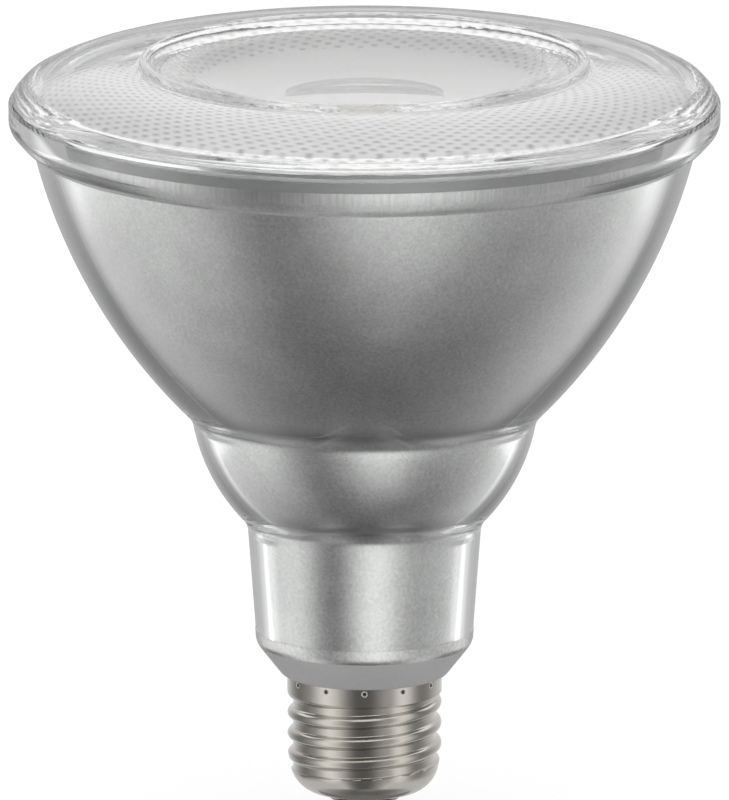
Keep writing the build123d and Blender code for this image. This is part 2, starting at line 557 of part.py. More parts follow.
# Parts soldered to the board, sized to the housing's bore and stacked up the neck
BAY = BOARD_TOP_Z - BOARD_FOOT_Z
ROW_GAP = 0.03 * BAY
LOWER_ROW_Z = BOARD_FOOT_Z + ROW_GAP
LOWER_ROW = 0.52 * BAY
UPPER_ROW_Z = LOWER_ROW_Z + LOWER_ROW + ROW_GAP
UPPER_ROW = 0.37 * BAY
CAN_RADIUS = 0.37 * HOUSING_BORE
CAN_EDGE = 0.1 * CAN_RADIUS
SIDE_X = 0.42 * HOUSING_BORE
UPRIGHT = (Align.CENTER, Align.CENTER, Align.MIN)
FRONT_FACE = (Align.CENTER, Align.MAX, Align.MIN)
BACK_FACE = (Align.CENTER, Align.MIN, Align.MIN)
with BuildPart() as bulk_capacitor:
    with Locations((-SIDE_X, BOARD_FRONT_Y - SEAT - CAN_RADIUS, LOWER_ROW_Z)):
        Cylinder(CAN_RADIUS, LOWER_ROW, align=UPRIGHT)
    fillet(bulk_capacitor.edges().filter_by(GeomType.CIRCLE), CAN_EDGE)
bulk_capacitor.part.label = "bulk_capacitor"
export_step(bulk_capacitor.part, "parts/bulk_capacitor.step")

FILM_SIZE = (0.62 * HOUSING_BORE, 0.42 * HOUSING_BORE, 0.5 * LOWER_ROW)
with BuildPart() as film_capacitor:
    with Locations((SIDE_X, BOARD_FRONT_Y, LOWER_ROW_Z + LOWER_ROW - FILM_SIZE[2])):
        Box(*FILM_SIZE, align=FRONT_FACE)
    fillet(film_capacitor.edges().filter_by(Axis.Y), CAN_EDGE)
film_capacitor.part.label = "film_capacitor"
export_step(film_capacitor.part, "parts/film_capacitor.step")

CHOKE_RADIUS = 0.3 * HOUSING_BORE
CHOKE_HEIGHT = 0.4 * LOWER_ROW
CHOKE_WAIST = 0.62 * CHOKE_RADIUS
CHOKE_FLANGE = 0.2 * CHOKE_HEIGHT
CHOKE_Y = BOARD_FRONT_Y - SEAT - CHOKE_RADIUS
with BuildPart() as choke:
    with Locations((SIDE_X, CHOKE_Y, LOWER_ROW_Z)):
        Cylinder(CHOKE_WAIST, CHOKE_HEIGHT, align=UPRIGHT)
        Cylinder(CHOKE_RADIUS, CHOKE_FLANGE, align=UPRIGHT)
    with Locations((SIDE_X, CHOKE_Y, LOWER_ROW_Z + CHOKE_HEIGHT - CHOKE_FLANGE)):
        Cylinder(CHOKE_RADIUS, CHOKE_FLANGE, align=UPRIGHT)
choke.part.label = "choke"
export_step(choke.part, "parts/choke.step")

CORE_WIDTH = 1.05 * HOUSING_BORE
CORE_DEPTH = 0.4 * HOUSING_BORE
CORE_LIMB = 0.18 * CORE_WIDTH
WINDOW_WIDTH = (CORE_WIDTH - 4 * CORE_LIMB) / 2
WINDOW_HEIGHT = UPPER_ROW - 2 * CORE_LIMB
CORE_Y = BOARD_FRONT_Y - 0.18 * HOUSING_BORE
WINDOW_X = CORE_LIMB + WINDOW_WIDTH / 2
with BuildPart() as transformer_core:
    with BuildSketch(Plane.XZ.offset(-CORE_Y)):
        with Locations((0, UPPER_ROW_Z + UPPER_ROW / 2)):
            Rectangle(CORE_WIDTH, UPPER_ROW)
            with Locations((WINDOW_X, 0), (-WINDOW_X, 0)):
                Rectangle(WINDOW_WIDTH, WINDOW_HEIGHT, mode=Mode.SUBTRACT)
    extrude(amount=CORE_DEPTH)
transformer_core.part.label = "transformer_core"
export_step(transformer_core.part, "parts/transformer_core.step")

WINDING_WIDTH = 2 * (CORE_LIMB + WINDOW_WIDTH - SEAT)
WINDING_FRONT_Y = CORE_Y - CORE_DEPTH - 0.14 * HOUSING_BORE
with BuildPart() as transformer_winding:
    with Locations((0, BOARD_FRONT_Y, UPPER_ROW_Z + CORE_LIMB + SEAT)):
        Box(WINDING_WIDTH, BOARD_FRONT_Y - WINDING_FRONT_Y, WINDOW_HEIGHT - 2 * SEAT, align=FRONT_FACE)
    fillet(transformer_winding.edges().filter_by(Axis.Z), CAN_EDGE)
    with Locations((0, CORE_Y + SEAT, UPPER_ROW_Z)):
        Box(2 * (CORE_LIMB + SEAT), CORE_DEPTH + 2 * SEAT, UPPER_ROW, align=FRONT_FACE, mode=Mode.SUBTRACT)
transformer_winding.part.label = "transformer_winding"
export_step(transformer_winding.part, "parts/transformer_winding.step")

OUTPUT_RADIUS = 0.28 * HOUSING_BORE
with BuildPart() as output_capacitor:
    with Locations((0, BOARD_BACK_Y + SEAT + OUTPUT_RADIUS, UPPER_ROW_Z)):
        Cylinder(OUTPUT_RADIUS, 0.85 * UPPER_ROW, align=UPRIGHT)
    fillet(output_capacitor.edges().filter_by(GeomType.CIRCLE), CAN_EDGE)
output_capacitor.part.label = "output_capacitor"
export_step(output_capacitor.part, "parts/output_capacitor.step")

RECTIFIER_SIZE = (0.5 * HOUSING_BORE, 0.19 * HOUSING_BORE, 0.28 * LOWER_ROW)
with BuildPart() as rectifier:
    with Locations((0, BOARD_BACK_Y, LOWER_ROW_Z)):
        Box(*RECTIFIER_SIZE, align=BACK_FACE)
    chamfer(rectifier.faces().sort_by(Axis.Y)[-1].edges(), CAN_EDGE)
rectifier.part.label = "rectifier"
export_step(rectifier.part, "parts/rectifier.step")

CONTROLLER_SIZE = (0.38 * HOUSING_BORE, 0.12 * HOUSING_BORE, 0.24 * LOWER_ROW)
with BuildPart() as controller:
    with Locations((0, BOARD_BACK_Y, LOWER_ROW_Z + LOWER_ROW / 2)):
        Box(*CONTROLLER_SIZE, align=BACK_FACE)
    chamfer(controller.faces().sort_by(Axis.Y)[-1].edges(), CAN_EDGE)
controller.part.label = "controller"
export_step(controller.part, "parts/controller.step")

FUSE_RADIUS = 0.16 * PLUG_BORE
FUSE_LENGTH = 0.4 * (BOARD_FOOT_Z - TONGUE_FOOT_Z)
with BuildPart() as fuse_resistor:
    with Locations((0.45 * PLUG_BORE, BOARD_FRONT_Y - SEAT - FUSE_RADIUS, TONGUE_FOOT_Z + FUSE_LENGTH)):
        Cylinder(FUSE_RADIUS, FUSE_LENGTH, align=UPRIGHT)
    fillet(fuse_resistor.edges().filter_by(GeomType.CIRCLE), 0.5 * FUSE_RADIUS)
fuse_resistor.part.label = "fuse_resistor"
export_step(fuse_resistor.part, "parts/fuse_resistor.step")

# Leads: centre contact and shell to the board's tongue, and two from the board up to the LED board
LEAD_LAP = 4.0
LEAD_BEND = 1.1
FRONT_LEAD_Y = BOARD_FRONT_Y - LEAD_RADIUS - FINE
BACK_LEAD_Y = BOARD_BACK_Y + LEAD_RADIUS + FINE
RIVET_TOP_Z = INSULATOR_TOP_Z + RIVET_HEAD_HEIGHT


def lead(points):
    """Round lead along straight runs joined by arcs."""
    with BuildPart() as wire:
        with BuildLine() as route:
            FilletPolyline(*points, radius=LEAD_BEND)
        with BuildSketch(Plane(route.line @ 0, z_dir=route.line % 0)):
            Circle(LEAD_RADIUS)
        sweep(path=route.line)
    return wire


contact_lead = lead([
    (0, FRONT_LEAD_Y - 2 * LEAD_RADIUS, RIVET_TOP_Z + FINE),
    (0, FRONT_LEAD_Y - 2 * LEAD_RADIUS, PLUG_FOOT_Z),
    (0, FRONT_LEAD_Y, TONGUE_FOOT_Z),
    (0, FRONT_LEAD_Y, TONGUE_FOOT_Z + LEAD_LAP),
])
contact_lead.part.label = "contact_lead"
export_step(contact_lead.part, "parts/contact_lead.step")

SHELL_LEAD_X = 0.5 * PLUG_BORE
SHELL_LEAD_Z = PLUG_FOOT_Z - LEAD_RADIUS - SLIP
SHELL_LEAD_END = sqrt((PLUG_RADIUS - LEAD_RADIUS) ** 2 - BACK_LEAD_Y**2)
shell_lead = lead([
    (SHELL_LEAD_X, BACK_LEAD_Y, TONGUE_FOOT_Z + LEAD_LAP),
    (SHELL_LEAD_X, BACK_LEAD_Y, SHELL_LEAD_Z),
    (SHELL_LEAD_END, BACK_LEAD_Y, SHELL_LEAD_Z),
])
shell_lead.part.label = "shell_lead"
export_step(shell_lead.part, "parts/shell_lead.step")

LED_LEAD_X = 0.5 * HOUSING_BORE
LEAD_END = CUP_FOOT_RADIUS + CUP_FOOT_WALL + 2 * SLIP
PAD_LEAD_Z = CARRIER_Z + LEAD_RADIUS + FINE
for side, name in ((1, "led_lead_plus"), (-1, "led_lead_minus")):
    led_lead = lead([
        (side * LED_LEAD_X, BACK_LEAD_Y, BOARD_TOP_Z - LEAD_LAP),
        (side * LED_LEAD_X, BACK_LEAD_Y, BOARD_TOP_Z + LEAD_LAP),
        (side * LEAD_CIRCLE, 0, (BOARD_TOP_Z + LEAD_LAP + PAD_Z) / 2),
        (side * LEAD_CIRCLE, 0, PAD_LEAD_Z),
        (side * LEAD_END, 0, PAD_LEAD_Z),
    ])
    led_lead.part.label = name
    export_step(led_lead.part, "parts/" + name + ".step")
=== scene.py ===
import math

import bmesh
import bpy
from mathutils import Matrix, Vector


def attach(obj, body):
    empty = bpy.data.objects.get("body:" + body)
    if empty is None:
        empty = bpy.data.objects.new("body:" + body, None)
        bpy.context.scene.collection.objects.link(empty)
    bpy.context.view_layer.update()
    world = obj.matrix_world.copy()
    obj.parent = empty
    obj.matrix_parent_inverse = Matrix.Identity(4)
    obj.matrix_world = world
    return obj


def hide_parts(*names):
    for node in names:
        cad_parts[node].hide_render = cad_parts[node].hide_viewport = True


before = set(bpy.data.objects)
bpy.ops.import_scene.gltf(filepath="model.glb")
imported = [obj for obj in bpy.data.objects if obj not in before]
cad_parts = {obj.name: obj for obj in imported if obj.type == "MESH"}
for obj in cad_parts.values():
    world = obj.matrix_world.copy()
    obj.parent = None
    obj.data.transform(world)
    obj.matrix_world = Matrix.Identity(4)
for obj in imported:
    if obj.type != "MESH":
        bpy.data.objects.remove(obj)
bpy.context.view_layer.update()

# Glass body: the clear outer envelope, one wall from the chamfered neck end up through two bowls to
# the flange. It is pressed from glass in one piece, and its mouth has a groove for the lens seal.
MM = 0.001
GLASS_WALL = 2.8
NECK_FOOT = (18.37, 29.75)
NECK_TOP = (19.92, 50.45)
SHOULDER = (29.35, 68.85)
BOWL_RIM = (56.175, 115.75)
LOWER_BOWL_CURVE = 32.7
UPPER_BOWL_CURVE = 97.7
NECK_END = (14.09, 24.25)
GLASS_BORE = 12.97
RIM_RADIUS = 60.325
RIM_EDGE = 0.45
FLANGE_UNDER = (57.92, 116.87)
FLANGE_EDGE = (59.70, 118.87)
FLANGE_CURVE = (60.16, 119.71)
FLANGE_LAND = (RIM_RADIUS, 120.65)
PARTING_Z = 123.75
SEAL_RADIUS = 57.125
SEAL_HALF = 0.8
SEAL_DEPTH = 0.9
SHOULDER_EASE = 1.6
CHAMFER_EASE = 0.5
NECK_EASE = 0.9
BOWL_EASE = 0.2
FLANGE_EASE = 0.6
GLASS_TINT = (0.975, 0.985, 0.98, 1)
GLASS_RIPPLE = 0.02
CLEAR_IOR = 1.5
RIPPLE_SCALE = 55.0
HAZE = 0.03


def arc(start, middle, end, steps):
    """Section points along the arc through three points, both ends included."""
    (ax, az), (bx, bz), (cx, cz) = start, middle, end
    a, b, c = ax * ax + az * az, bx * bx + bz * bz, cx * cx + cz * cz
    double = 2 * (ax * (bz - cz) + bx * (cz - az) + cx * (az - bz))
    x = (a * (bz - cz) + b * (cz - az) + c * (az - bz)) / double
    z = (a * (cx - bx) + b * (ax - cx) + c * (bx - ax)) / double
    radius = math.hypot(ax - x, az - z)
    first = math.atan2(az - z, ax - x)
    turn = (math.atan2(cz - z, cx - x) - first) % math.tau
    if (math.atan2(bz - z, bx - x) - first) % math.tau > turn:
        turn -= math.tau
    angles = [first + turn * i / steps for i in range(steps + 1)]
    return [(x + radius * math.cos(t), z + radius * math.sin(t)) for t in angles]


def eased(before, corner, after, size, steps=4):
    """Section points round a corner that is eased by a size along both sides."""
    ends = []
    for point in (before, after):
        share = size / math.dist(corner, point)
        ends.append([c + share * (p - c) for c, p in zip(corner, point)])
    points = []
    for i in range(steps + 1):
        t = i / steps
        points.append(tuple(
            (1 - t) ** 2 * ends[0][k] + 2 * t * (1 - t) * corner[k] + t * t * ends[1][k] for k in (0, 1)
        ))
    return points


def straight(start, end, steps):
    """Section points from one point to the next, the second left out."""
    return [tuple(s + (e - s) * i / steps for s, e in zip(start, end)) for i in range(steps)]


def turned(name, outline, segments=256, crease=28):
    """Closed piece turned about the lamp's axis from a section outline of radii and heights in mm."""
    mesh = bpy.data.meshes.new(name)
    shape = bmesh.new()
    rings = []
    for radius, height in outline:
        if radius < 1e-6:
            rings.append([shape.verts.new((0, 0, height * MM))] * segments)
            continue
        rings.append([
            shape.verts.new((radius * MM * math.cos(math.tau * i / segments),
                             radius * MM * math.sin(math.tau * i / segments), height * MM))
            for i in range(segments)
        ])
    for low, high in zip(rings, rings[1:] + rings[:1]):
        for i in range(segments):
            j = (i + 1) % segments
            corners = list(dict.fromkeys((low[i], low[j], high[j], high[i])))
            if len(corners) > 2:
                shape.faces.new(corners)
    bmesh.ops.recalc_face_normals(shape, faces=shape.faces)
    shape.to_mesh(mesh)
    shape.free()
    mesh.shade_smooth()
    mesh.set_sharp_from_angle(angle=math.radians(crease))
    piece = bpy.data.objects.new(name, mesh)
    bpy.context.scene.collection.objects.link(piece)
    return piece


def bowl(low, high, curve):
    """Centre and radius of a bowl's wall through two section points, bulging outward."""
    half_r, half_z = (high[0] - low[0]) / 2, (high[1] - low[1]) / 2
    half = math.hypot(half_r, half_z)
    lean = math.sqrt(curve**2 - half**2) / half
    return low[0] + half_r - half_z * lean, low[1] + half_z + half_r * lean, curve


WALL_STEPS = 36
LOWER_BOWL = bowl(NECK_TOP, SHOULDER, LOWER_BOWL_CURVE)
UPPER_BOWL = bowl(SHOULDER, BOWL_RIM, UPPER_BOWL_CURVE)


def neck_radius(z, depth):
    """Radius of the neck's wall at a height, at a depth below its outer face."""
    slope = (NECK_TOP[0] - NECK_FOOT[0]) / (NECK_TOP[1] - NECK_FOOT[1])
    return NECK_FOOT[0] + slope * (z - NECK_FOOT[1]) - depth


def bowl_radius(ball, z, depth):
    """Radius of a bowl's wall at a height, at a depth below its outer face."""
    return ball[0] + math.sqrt((ball[2] - depth) ** 2 - (z - ball[1]) ** 2)


def wall(depth, foot_z, top_z):
    """Section points up one face of the envelope: neck, lower bowl, upper bowl, crisp at the shoulders."""
    faces = [
        lambda z: neck_radius(z, depth),
        lambda z: bowl_radius(LOWER_BOWL, z, depth),
        lambda z: bowl_radius(UPPER_BOWL, z, depth),
    ]
    turns = [foot_z]
    for below, above in zip(faces, faces[1:]):
        low, high = max(turns[-1], NECK_TOP[1] - GLASS_WALL), PARTING_Z
        if len(turns) == 1:
            high = SHOULDER[1]
        for _ in range(40):
            middle = (low + high) / 2
            low, high = (low, middle) if above(middle) > below(middle) else (middle, high)
        turns.append(high)
    turns.append(top_z)
    points = []
    for face, low, high in zip(faces, turns, turns[1:]):
        levels = [low + (high - low) * i / WALL_STEPS for i in range(WALL_STEPS)]
        points += [(face(z), z) for z in levels]
    return points + [(faces[-1](top_z), top_z)]


def rounded(face, size):
    """Section points of a wall with its two shoulders rounded by a size along both sides."""
    for corner in (2 * WALL_STEPS, WALL_STEPS):
        far = [i for i, point in enumerate(face) if math.dist(point, face[corner]) > size]
        low, high = max(i for i in far if i < corner), min(i for i in far if i > corner)
        face = face[:low + 1] + eased(face[low], face[corner], face[high], size, 10) + face[high:]
    return face


def link(tree, kind, inputs=None, **settings):
    """New node in a tree with its settings made and its inputs joined or filled."""
    made = tree.nodes.new(kind)
    for key, value in settings.items():
        setattr(made, key, value)
    for key, value in (inputs or {}).items():
        if isinstance(value, bpy.types.NodeSocket):
            tree.links.new(value, made.inputs[key])
        else:
            made.inputs[key].default_value = value
    return made


def calc(tree, operation, *values):
    """Output of a new Math node."""
    return link(tree, "ShaderNodeMath", dict(enumerate(values)), operation=operation).outputs[0]


def clear_material(name, tint, ripple):
    """Clear glass or moulding with a faint pressed ripple, open to the light that casts shadows."""
    material = bpy.data.materials.new(name)
    material.use_nodes = True
    tree = material.node_tree
    shader = tree.nodes["Principled BSDF"]
    shader.inputs["Transmission Weight"].default_value = 1.0
    shader.inputs["IOR"].default_value = CLEAR_IOR
    shader.inputs["Base Color"].default_value = tint
    place = link(tree, "ShaderNodeTexCoord")
    wave = link(tree, "ShaderNodeTexNoise", {
        "Vector": place.outputs["Object"], "Scale": RIPPLE_SCALE, "Detail": 1.0,
    })
    bump = link(tree, "ShaderNodeBump", {
        "Height": wave.outputs["Fac"], "Strength": ripple, "Distance": 1 * MM,
    })
    tree.links.new(bump.outputs["Normal"], shader.inputs["Normal"])
    haze = link(tree, "ShaderNodeMapRange", {"Value": wave.outputs["Fac"], "To Min": 0.0, "To Max": HAZE})
    tree.links.new(haze.outputs["Result"], shader.inputs["Roughness"])
    path = link(tree, "ShaderNodeLightPath")
    open_shader = link(tree, "ShaderNodeBsdfTransparent", {"Color": tint})
    mixed = link(tree, "ShaderNodeMixShader", {
        0: path.outputs["Is Shadow Ray"], 1: shader.outputs[0], 2: open_shader.outputs[0],
    })
    tree.links.new(mixed.outputs[0], tree.nodes["Material Output"].inputs["Surface"])
    return material


def seat(piece, material, slot, *nodes):
    """Finishes a piece, seats it on the lamp's body and lets it stand for its CAD nodes."""
    piece.data.materials.clear()
    piece.data.materials.append(material)
    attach(piece, "root")
    if nodes:
        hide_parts(*nodes)


chamfer_slope = (NECK_FOOT[1] - NECK_END[1]) / (NECK_FOOT[0] - NECK_END[0])
chamfer_rise = GLASS_WALL * math.hypot(1, chamfer_slope)
inner_foot_r = NECK_FOOT[0] - GLASS_WALL
inner_foot_z = NECK_END[1] + chamfer_slope * (inner_foot_r - NECK_END[0]) + chamfer_rise
bore_top_z = NECK_END[1] + chamfer_slope * (GLASS_BORE - NECK_END[0]) + chamfer_rise
outside = rounded(wall(0, NECK_FOOT[1], BOWL_RIM[1]), SHOULDER_EASE)
inside = rounded(wall(GLASS_WALL, inner_foot_z, PARTING_Z), SHOULDER_EASE)
glass_outline = [
    (GLASS_BORE, NECK_END[1]),
    *eased((GLASS_BORE, NECK_END[1]), NECK_END, NECK_FOOT, CHAMFER_EASE),
    *eased(NECK_END, NECK_FOOT, NECK_TOP, NECK_EASE),
    *outside[1:-1],
    *eased(outside[-2], BOWL_RIM, FLANGE_UNDER, BOWL_EASE),
    *eased(BOWL_RIM, FLANGE_UNDER, FLANGE_EDGE, FLANGE_EASE),
    *arc(FLANGE_EDGE, FLANGE_CURVE, FLANGE_LAND, 6),
    (RIM_RADIUS, PARTING_Z - RIM_EDGE),
    (RIM_RADIUS - RIM_EDGE, PARTING_Z),
    (SEAL_RADIUS + SEAL_HALF, PARTING_Z),
    (SEAL_RADIUS + SEAL_HALF, PARTING_Z - SEAL_DEPTH),
    (SEAL_RADIUS - SEAL_HALF, PARTING_Z - SEAL_DEPTH),
    (SEAL_RADIUS - SEAL_HALF, PARTING_Z),
    *reversed(inside),
    (GLASS_BORE, bore_top_z),
]
clear_glass = clear_material("clear_glass", GLASS_TINT, GLASS_RIPPLE)
seat(turned("glass_envelope", glass_outline), clear_glass, "clear_glass", "glass_body")

# Heat shell: the satin silver wall seen through the glass, a spun aluminium sheet that stands a
# quarter of a millimetre inside the envelope and carries heat from the light engine to the glass.
SHELL_GAP = 0.25
HEAT_SHEET = 0.8
SHELL_TOP_Z = 121.55
SHELL_FOOT_RADIUS = 14.37
SHOULDER_LAND = 1.7
LAND_DRAFT = 0.075
SPUN_CORNER = 1.5
SATIN = {
    "colour": (0.60, 0.60, 0.595, 1), "roughness": 0.36, "scale": 1900.0,
    "tint": 1.4, "spread": 0.25, "metal": 1.0,
}
FINE_SHARE = 0.7
BROAD_SHARE = 0.3
BROAD_SCALE = 0.06
SHADE_BAND = 4.0
SHADE_LIFT = 1.2
SHADE_FADE = (-0.5, 1.5)
TOP_SHADE = 0.4
PAINTED_SHADE_GREY = (0.18, 0.18, 0.18, 1)


def grain_group():
    """Shader group for a fine surface grain: tinted colour, roughness and height over the piece."""
    group = bpy.data.node_groups.new("surface_grain", "ShaderNodeTree")
    for side, names in (("INPUT", ("Colour", "Tint", "Scale", "Roughness", "Spread")),
                        ("OUTPUT", ("Colour", "Roughness", "Height"))):
        for name in names:
            kind = "NodeSocketColor" if name == "Colour" else "NodeSocketFloat"
            group.interface.new_socket(name, in_out=side, socket_type=kind)
    given = link(group, "NodeGroupInput")
    place = link(group, "ShaderNodeTexCoord")
    fine = link(group, "ShaderNodeTexNoise", {
        "Vector": place.outputs["Object"], "Scale": given.outputs["Scale"], "Detail": 3.0, "Roughness": 0.7,
    })
    broad_scale = calc(group, "MULTIPLY", given.outputs["Scale"], BROAD_SCALE)
    broad = link(group, "ShaderNodeTexNoise", {
        "Vector": place.outputs["Object"], "Scale": broad_scale, "Detail": 2.0,
    })
    blend = calc(group, "ADD", calc(group, "MULTIPLY", fine.outputs["Fac"], FINE_SHARE),
                 calc(group, "MULTIPLY", broad.outputs["Fac"], BROAD_SHARE))
    centred = calc(group, "SUBTRACT", blend, 0.5)
    light = calc(group, "MULTIPLY_ADD", centred, given.outputs["Tint"], 1.0)
    colour = link(group, "ShaderNodeVectorMath", {0: given.outputs["Colour"]}, operation="SCALE")
    group.links.new(light, colour.inputs["Scale"])
    rough = calc(group, "MULTIPLY_ADD", centred, given.outputs["Spread"], given.outputs["Roughness"])
    out = link(group, "NodeGroupOutput")
    group.links.new(colour.outputs[0], out.inputs["Colour"])
    group.links.new(rough, out.inputs["Roughness"])
    group.links.new(fine.outputs["Fac"], out.inputs["Height"])
    return group


surface_grain = grain_group()


def grained_material(name, colour, roughness, scale, tint=0.3, spread=0.2, height=0.02, metal=0.0):
    """Opaque finish whose colour, gloss and height vary with the surface grain."""
    material = bpy.data.materials.new(name)
    material.use_nodes = True
    tree = material.node_tree
    shader = tree.nodes["Principled BSDF"]
    shader.inputs["Metallic"].default_value = metal
    grain = link(tree, "ShaderNodeGroup", node_tree=surface_grain)
    for key, value in (("Colour", colour), ("Tint", tint), ("Scale", scale), ("Roughness", roughness),
                       ("Spread", spread)):
        grain.inputs[key].default_value = value
    bump = link(tree, "ShaderNodeBump", {
        "Height": grain.outputs["Height"], "Strength": 1.0, "Distance": height * MM,
    })
    tree.links.new(grain.outputs["Colour"], shader.inputs["Base Color"])
    tree.links.new(grain.outputs["Roughness"], shader.inputs["Roughness"])
    tree.links.new(bump.outputs["Normal"], shader.inputs["Normal"])
    return material


shell_depth = GLASS_WALL + SHELL_GAP
shell_foot_z = inner_foot_z + SHELL_GAP
shell_foot_r = neck_radius(shell_foot_z, shell_depth)
foot_run = shell_foot_r - SHELL_FOOT_RADIUS
spun_face = wall(shell_depth, shell_foot_z, SHELL_TOP_Z)
neck_end_z, shoulder_z = spun_face[WALL_STEPS][1], spun_face[2 * WALL_STEPS][1]
land_z = shoulder_z - SHOULDER_LAND
land_r = bowl_radius(LOWER_BOWL, land_z, shell_depth)
spun_face = [
    (land_r + LAND_DRAFT * (z - land_z), z) if land_z < z < shoulder_z else (r, z) for r, z in spun_face
]
shell_outline = [
    (SHELL_FOOT_RADIUS, shell_foot_z - chamfer_slope * foot_run),
    *rounded(spun_face, SPUN_CORNER),
    *reversed(wall(shell_depth + HEAT_SHEET, shell_foot_z + HEAT_SHEET, SHELL_TOP_Z)),
    (SHELL_FOOT_RADIUS, shell_foot_z + HEAT_SHEET),
]


def here(tree):
    """X, Y and Z of the shaded point on its piece."""
    place = link(tree, "ShaderNodeTexCoord").outputs["Object"]
    return link(tree, "ShaderNodeSeparateXYZ", {0: place}).outputs


def soft_step(tree, value, low, high):
    """Output that eases from 0 to 1 as a value goes from low to high."""
    return link(tree, "ShaderNodeMapRange", {"Value": value, "From Min": low, "From Max": high},
                interpolation_type="SMOOTHSTEP").outputs[0]


def tinted(tree, share, first, second):
    """Colour between two colours."""
    return link(tree, "ShaderNodeMix", {"Factor": share, 6: first, 7: second}, data_type="RGBA").outputs[2]


def spun_material():
    """Satin aluminium with painted shade: dark grey bands painted above each shoulder and, fainter, at its
    edge.
    """
    material = grained_material("spun_aluminium", **SATIN)
    tree = material.node_tree
    height = here(tree)[2]
    shade = tree.nodes["Group"].outputs["Colour"]
    # Painted shade: a dark grey band painted just above each shoulder, where shade falls, and a fainter one
    # below the top edge.
    for corner_z, strength in ((neck_end_z + SHADE_LIFT, 1.0), (shoulder_z + SHADE_LIFT, 1.0),
                               (SHELL_TOP_Z - SHADE_BAND, TOP_SHADE)):
        above = soft_step(tree, height, (corner_z + SHADE_BAND) * MM, corner_z * MM)
        below = soft_step(tree, height, *[(corner_z + fade) * MM for fade in SHADE_FADE])
        corner = calc(tree, "MULTIPLY", calc(tree, "MULTIPLY", above, below), strength)
        shade = tinted(tree, corner, shade, PAINTED_SHADE_GREY)
    tree.links.new(shade, tree.nodes["Principled BSDF"].inputs["Base Color"])
    return material


satin_aluminium = grained_material("satin_aluminium", **SATIN)
seat(turned("satin_shell", shell_outline), spun_material(), "satin_aluminium", "heat_shell")

# Neck finish: the envelope's end is dipped so that no edge of clear glass shows above the cap: a satin
# silver coat round the foot of the neck, and a matt grey one over the chamfer down to the cap's collar.
COAT_LIFT = 0.03
COAT_THICKNESS = 0.06
COAT_TOP_Z = 32.0
NECK_GREY = (0.3, 0.3, 0.3, 1)


def skin(name, face):
    """Thin coat on an outer face, given as section points from its lower edge up."""
    layers = []
    for lift in (COAT_LIFT, COAT_LIFT + COAT_THICKNESS):
        layer = []
        for i, (r, z) in enumerate(face):
            before, after = face[max(i - 1, 0)], face[min(i + 1, len(face) - 1)]
            run = math.dist(before, after)
            layer.append((r + lift * (after[1] - before[1]) / run, z - lift * (after[0] - before[0]) / run))
        layers.append(layer)
    coat = turned(name, layers[1] + layers[0][::-1])
    coat.visible_diffuse = coat.visible_glossy = coat.visible_transmission = coat.visible_shadow = False
    return coat


chamfer_end = eased((GLASS_BORE, NECK_END[1]), NECK_END, NECK_FOOT, CHAMFER_EASE)
neck_turn = eased(NECK_END, NECK_FOOT, NECK_TOP, NECK_EASE, 8)
neck_grey = grained_material("neck_grey", NECK_GREY, 0.5, 1900.0, 0.3)
seat(skin("chamfer_coat", chamfer_end + neck_turn[:4]), neck_grey, "grey_plastic")
seat(skin("neck_coat", [*neck_turn[3:], (neck_radius(COAT_TOP_Z, 0), COAT_TOP_Z)]), satin_aluminium,
     "satin_aluminium")

# Front lens: one clear moulding with a rounded rim, a domed band, a raised lip and an open well with a
# stepped wall. A spiral of tiny pillow lenses is moulded under the band, with deeper facets on the cone
# and the well's steps, and grey is painted into the creases between them as painted shade.
LENS_FACE_GAP = 0.12
LENS_RIM = 59.875
RIM_FOOT = 0.5
FACE_EASE = 0.3
DOME_EASE = 0.35
RIM_CURVE = (58.95, 125.37)
DOME_EDGE = (57.775, 126.65)
DOME_CURVE = (51.9, 129.02)
LIP_BASE = (38.2, 129.85)
LIP_TOP = (37.4, 131.05)
LIP_INNER = (36.4, 130.25)
WELL_STEPS = ((34.58, 128.69), (31.85, 128.15), (28.76, 126.65))
WELL_FLOOR = (18.2, 124.25)
FLOOR_DISC_RADIUS = 13.65
FLOOR_DISC_DEPTH = 0.3
POCKET_TOP_Z = 110.165
POCKET_CURVE = (3.52, 109.498)
POCKET_TOP = (5.9, 107.942)
POCKET_FOOT = (6.4, 99.05)
CONE_FOOT = (9.0, 99.05)
CONE_MIDDLE = (24.151, 110.738)
CONE_TOP = (36.8, 126.55)
BAND_INNER = (38.8, 127.6)
BAND_MIDDLE = (48.0, 126.6)
BAND_OUTER = (54.69, 123.95)
PILLOW_STEP = 0.92
PILLOW_CURVE = 60.0
PILLOW_RISE = 0.015
PRISM_GAIN = 10.0
PRISM_RADIUS = 22.0
PRISM_SIDE_Z = 91.5
STEP_GAIN = 5.0
LENS_SEGMENTS = 720
CLEAR_TINT = (1, 1, 1, 1)
LENS_RIPPLE = 0.01
GOLDEN_TURN = (3 - math.sqrt(5)) / 2
PILLOW_ARMS = (89, 144)
CREASE_SHADE_TINT = (0.32, 0.32, 0.33, 1)
CREASE_RADIUS = 0.8
CREASE_STRETCH = 1.5
STEP_CREASE_SHADE = 0.6
lens_face_z = PARTING_Z + LENS_FACE_GAP
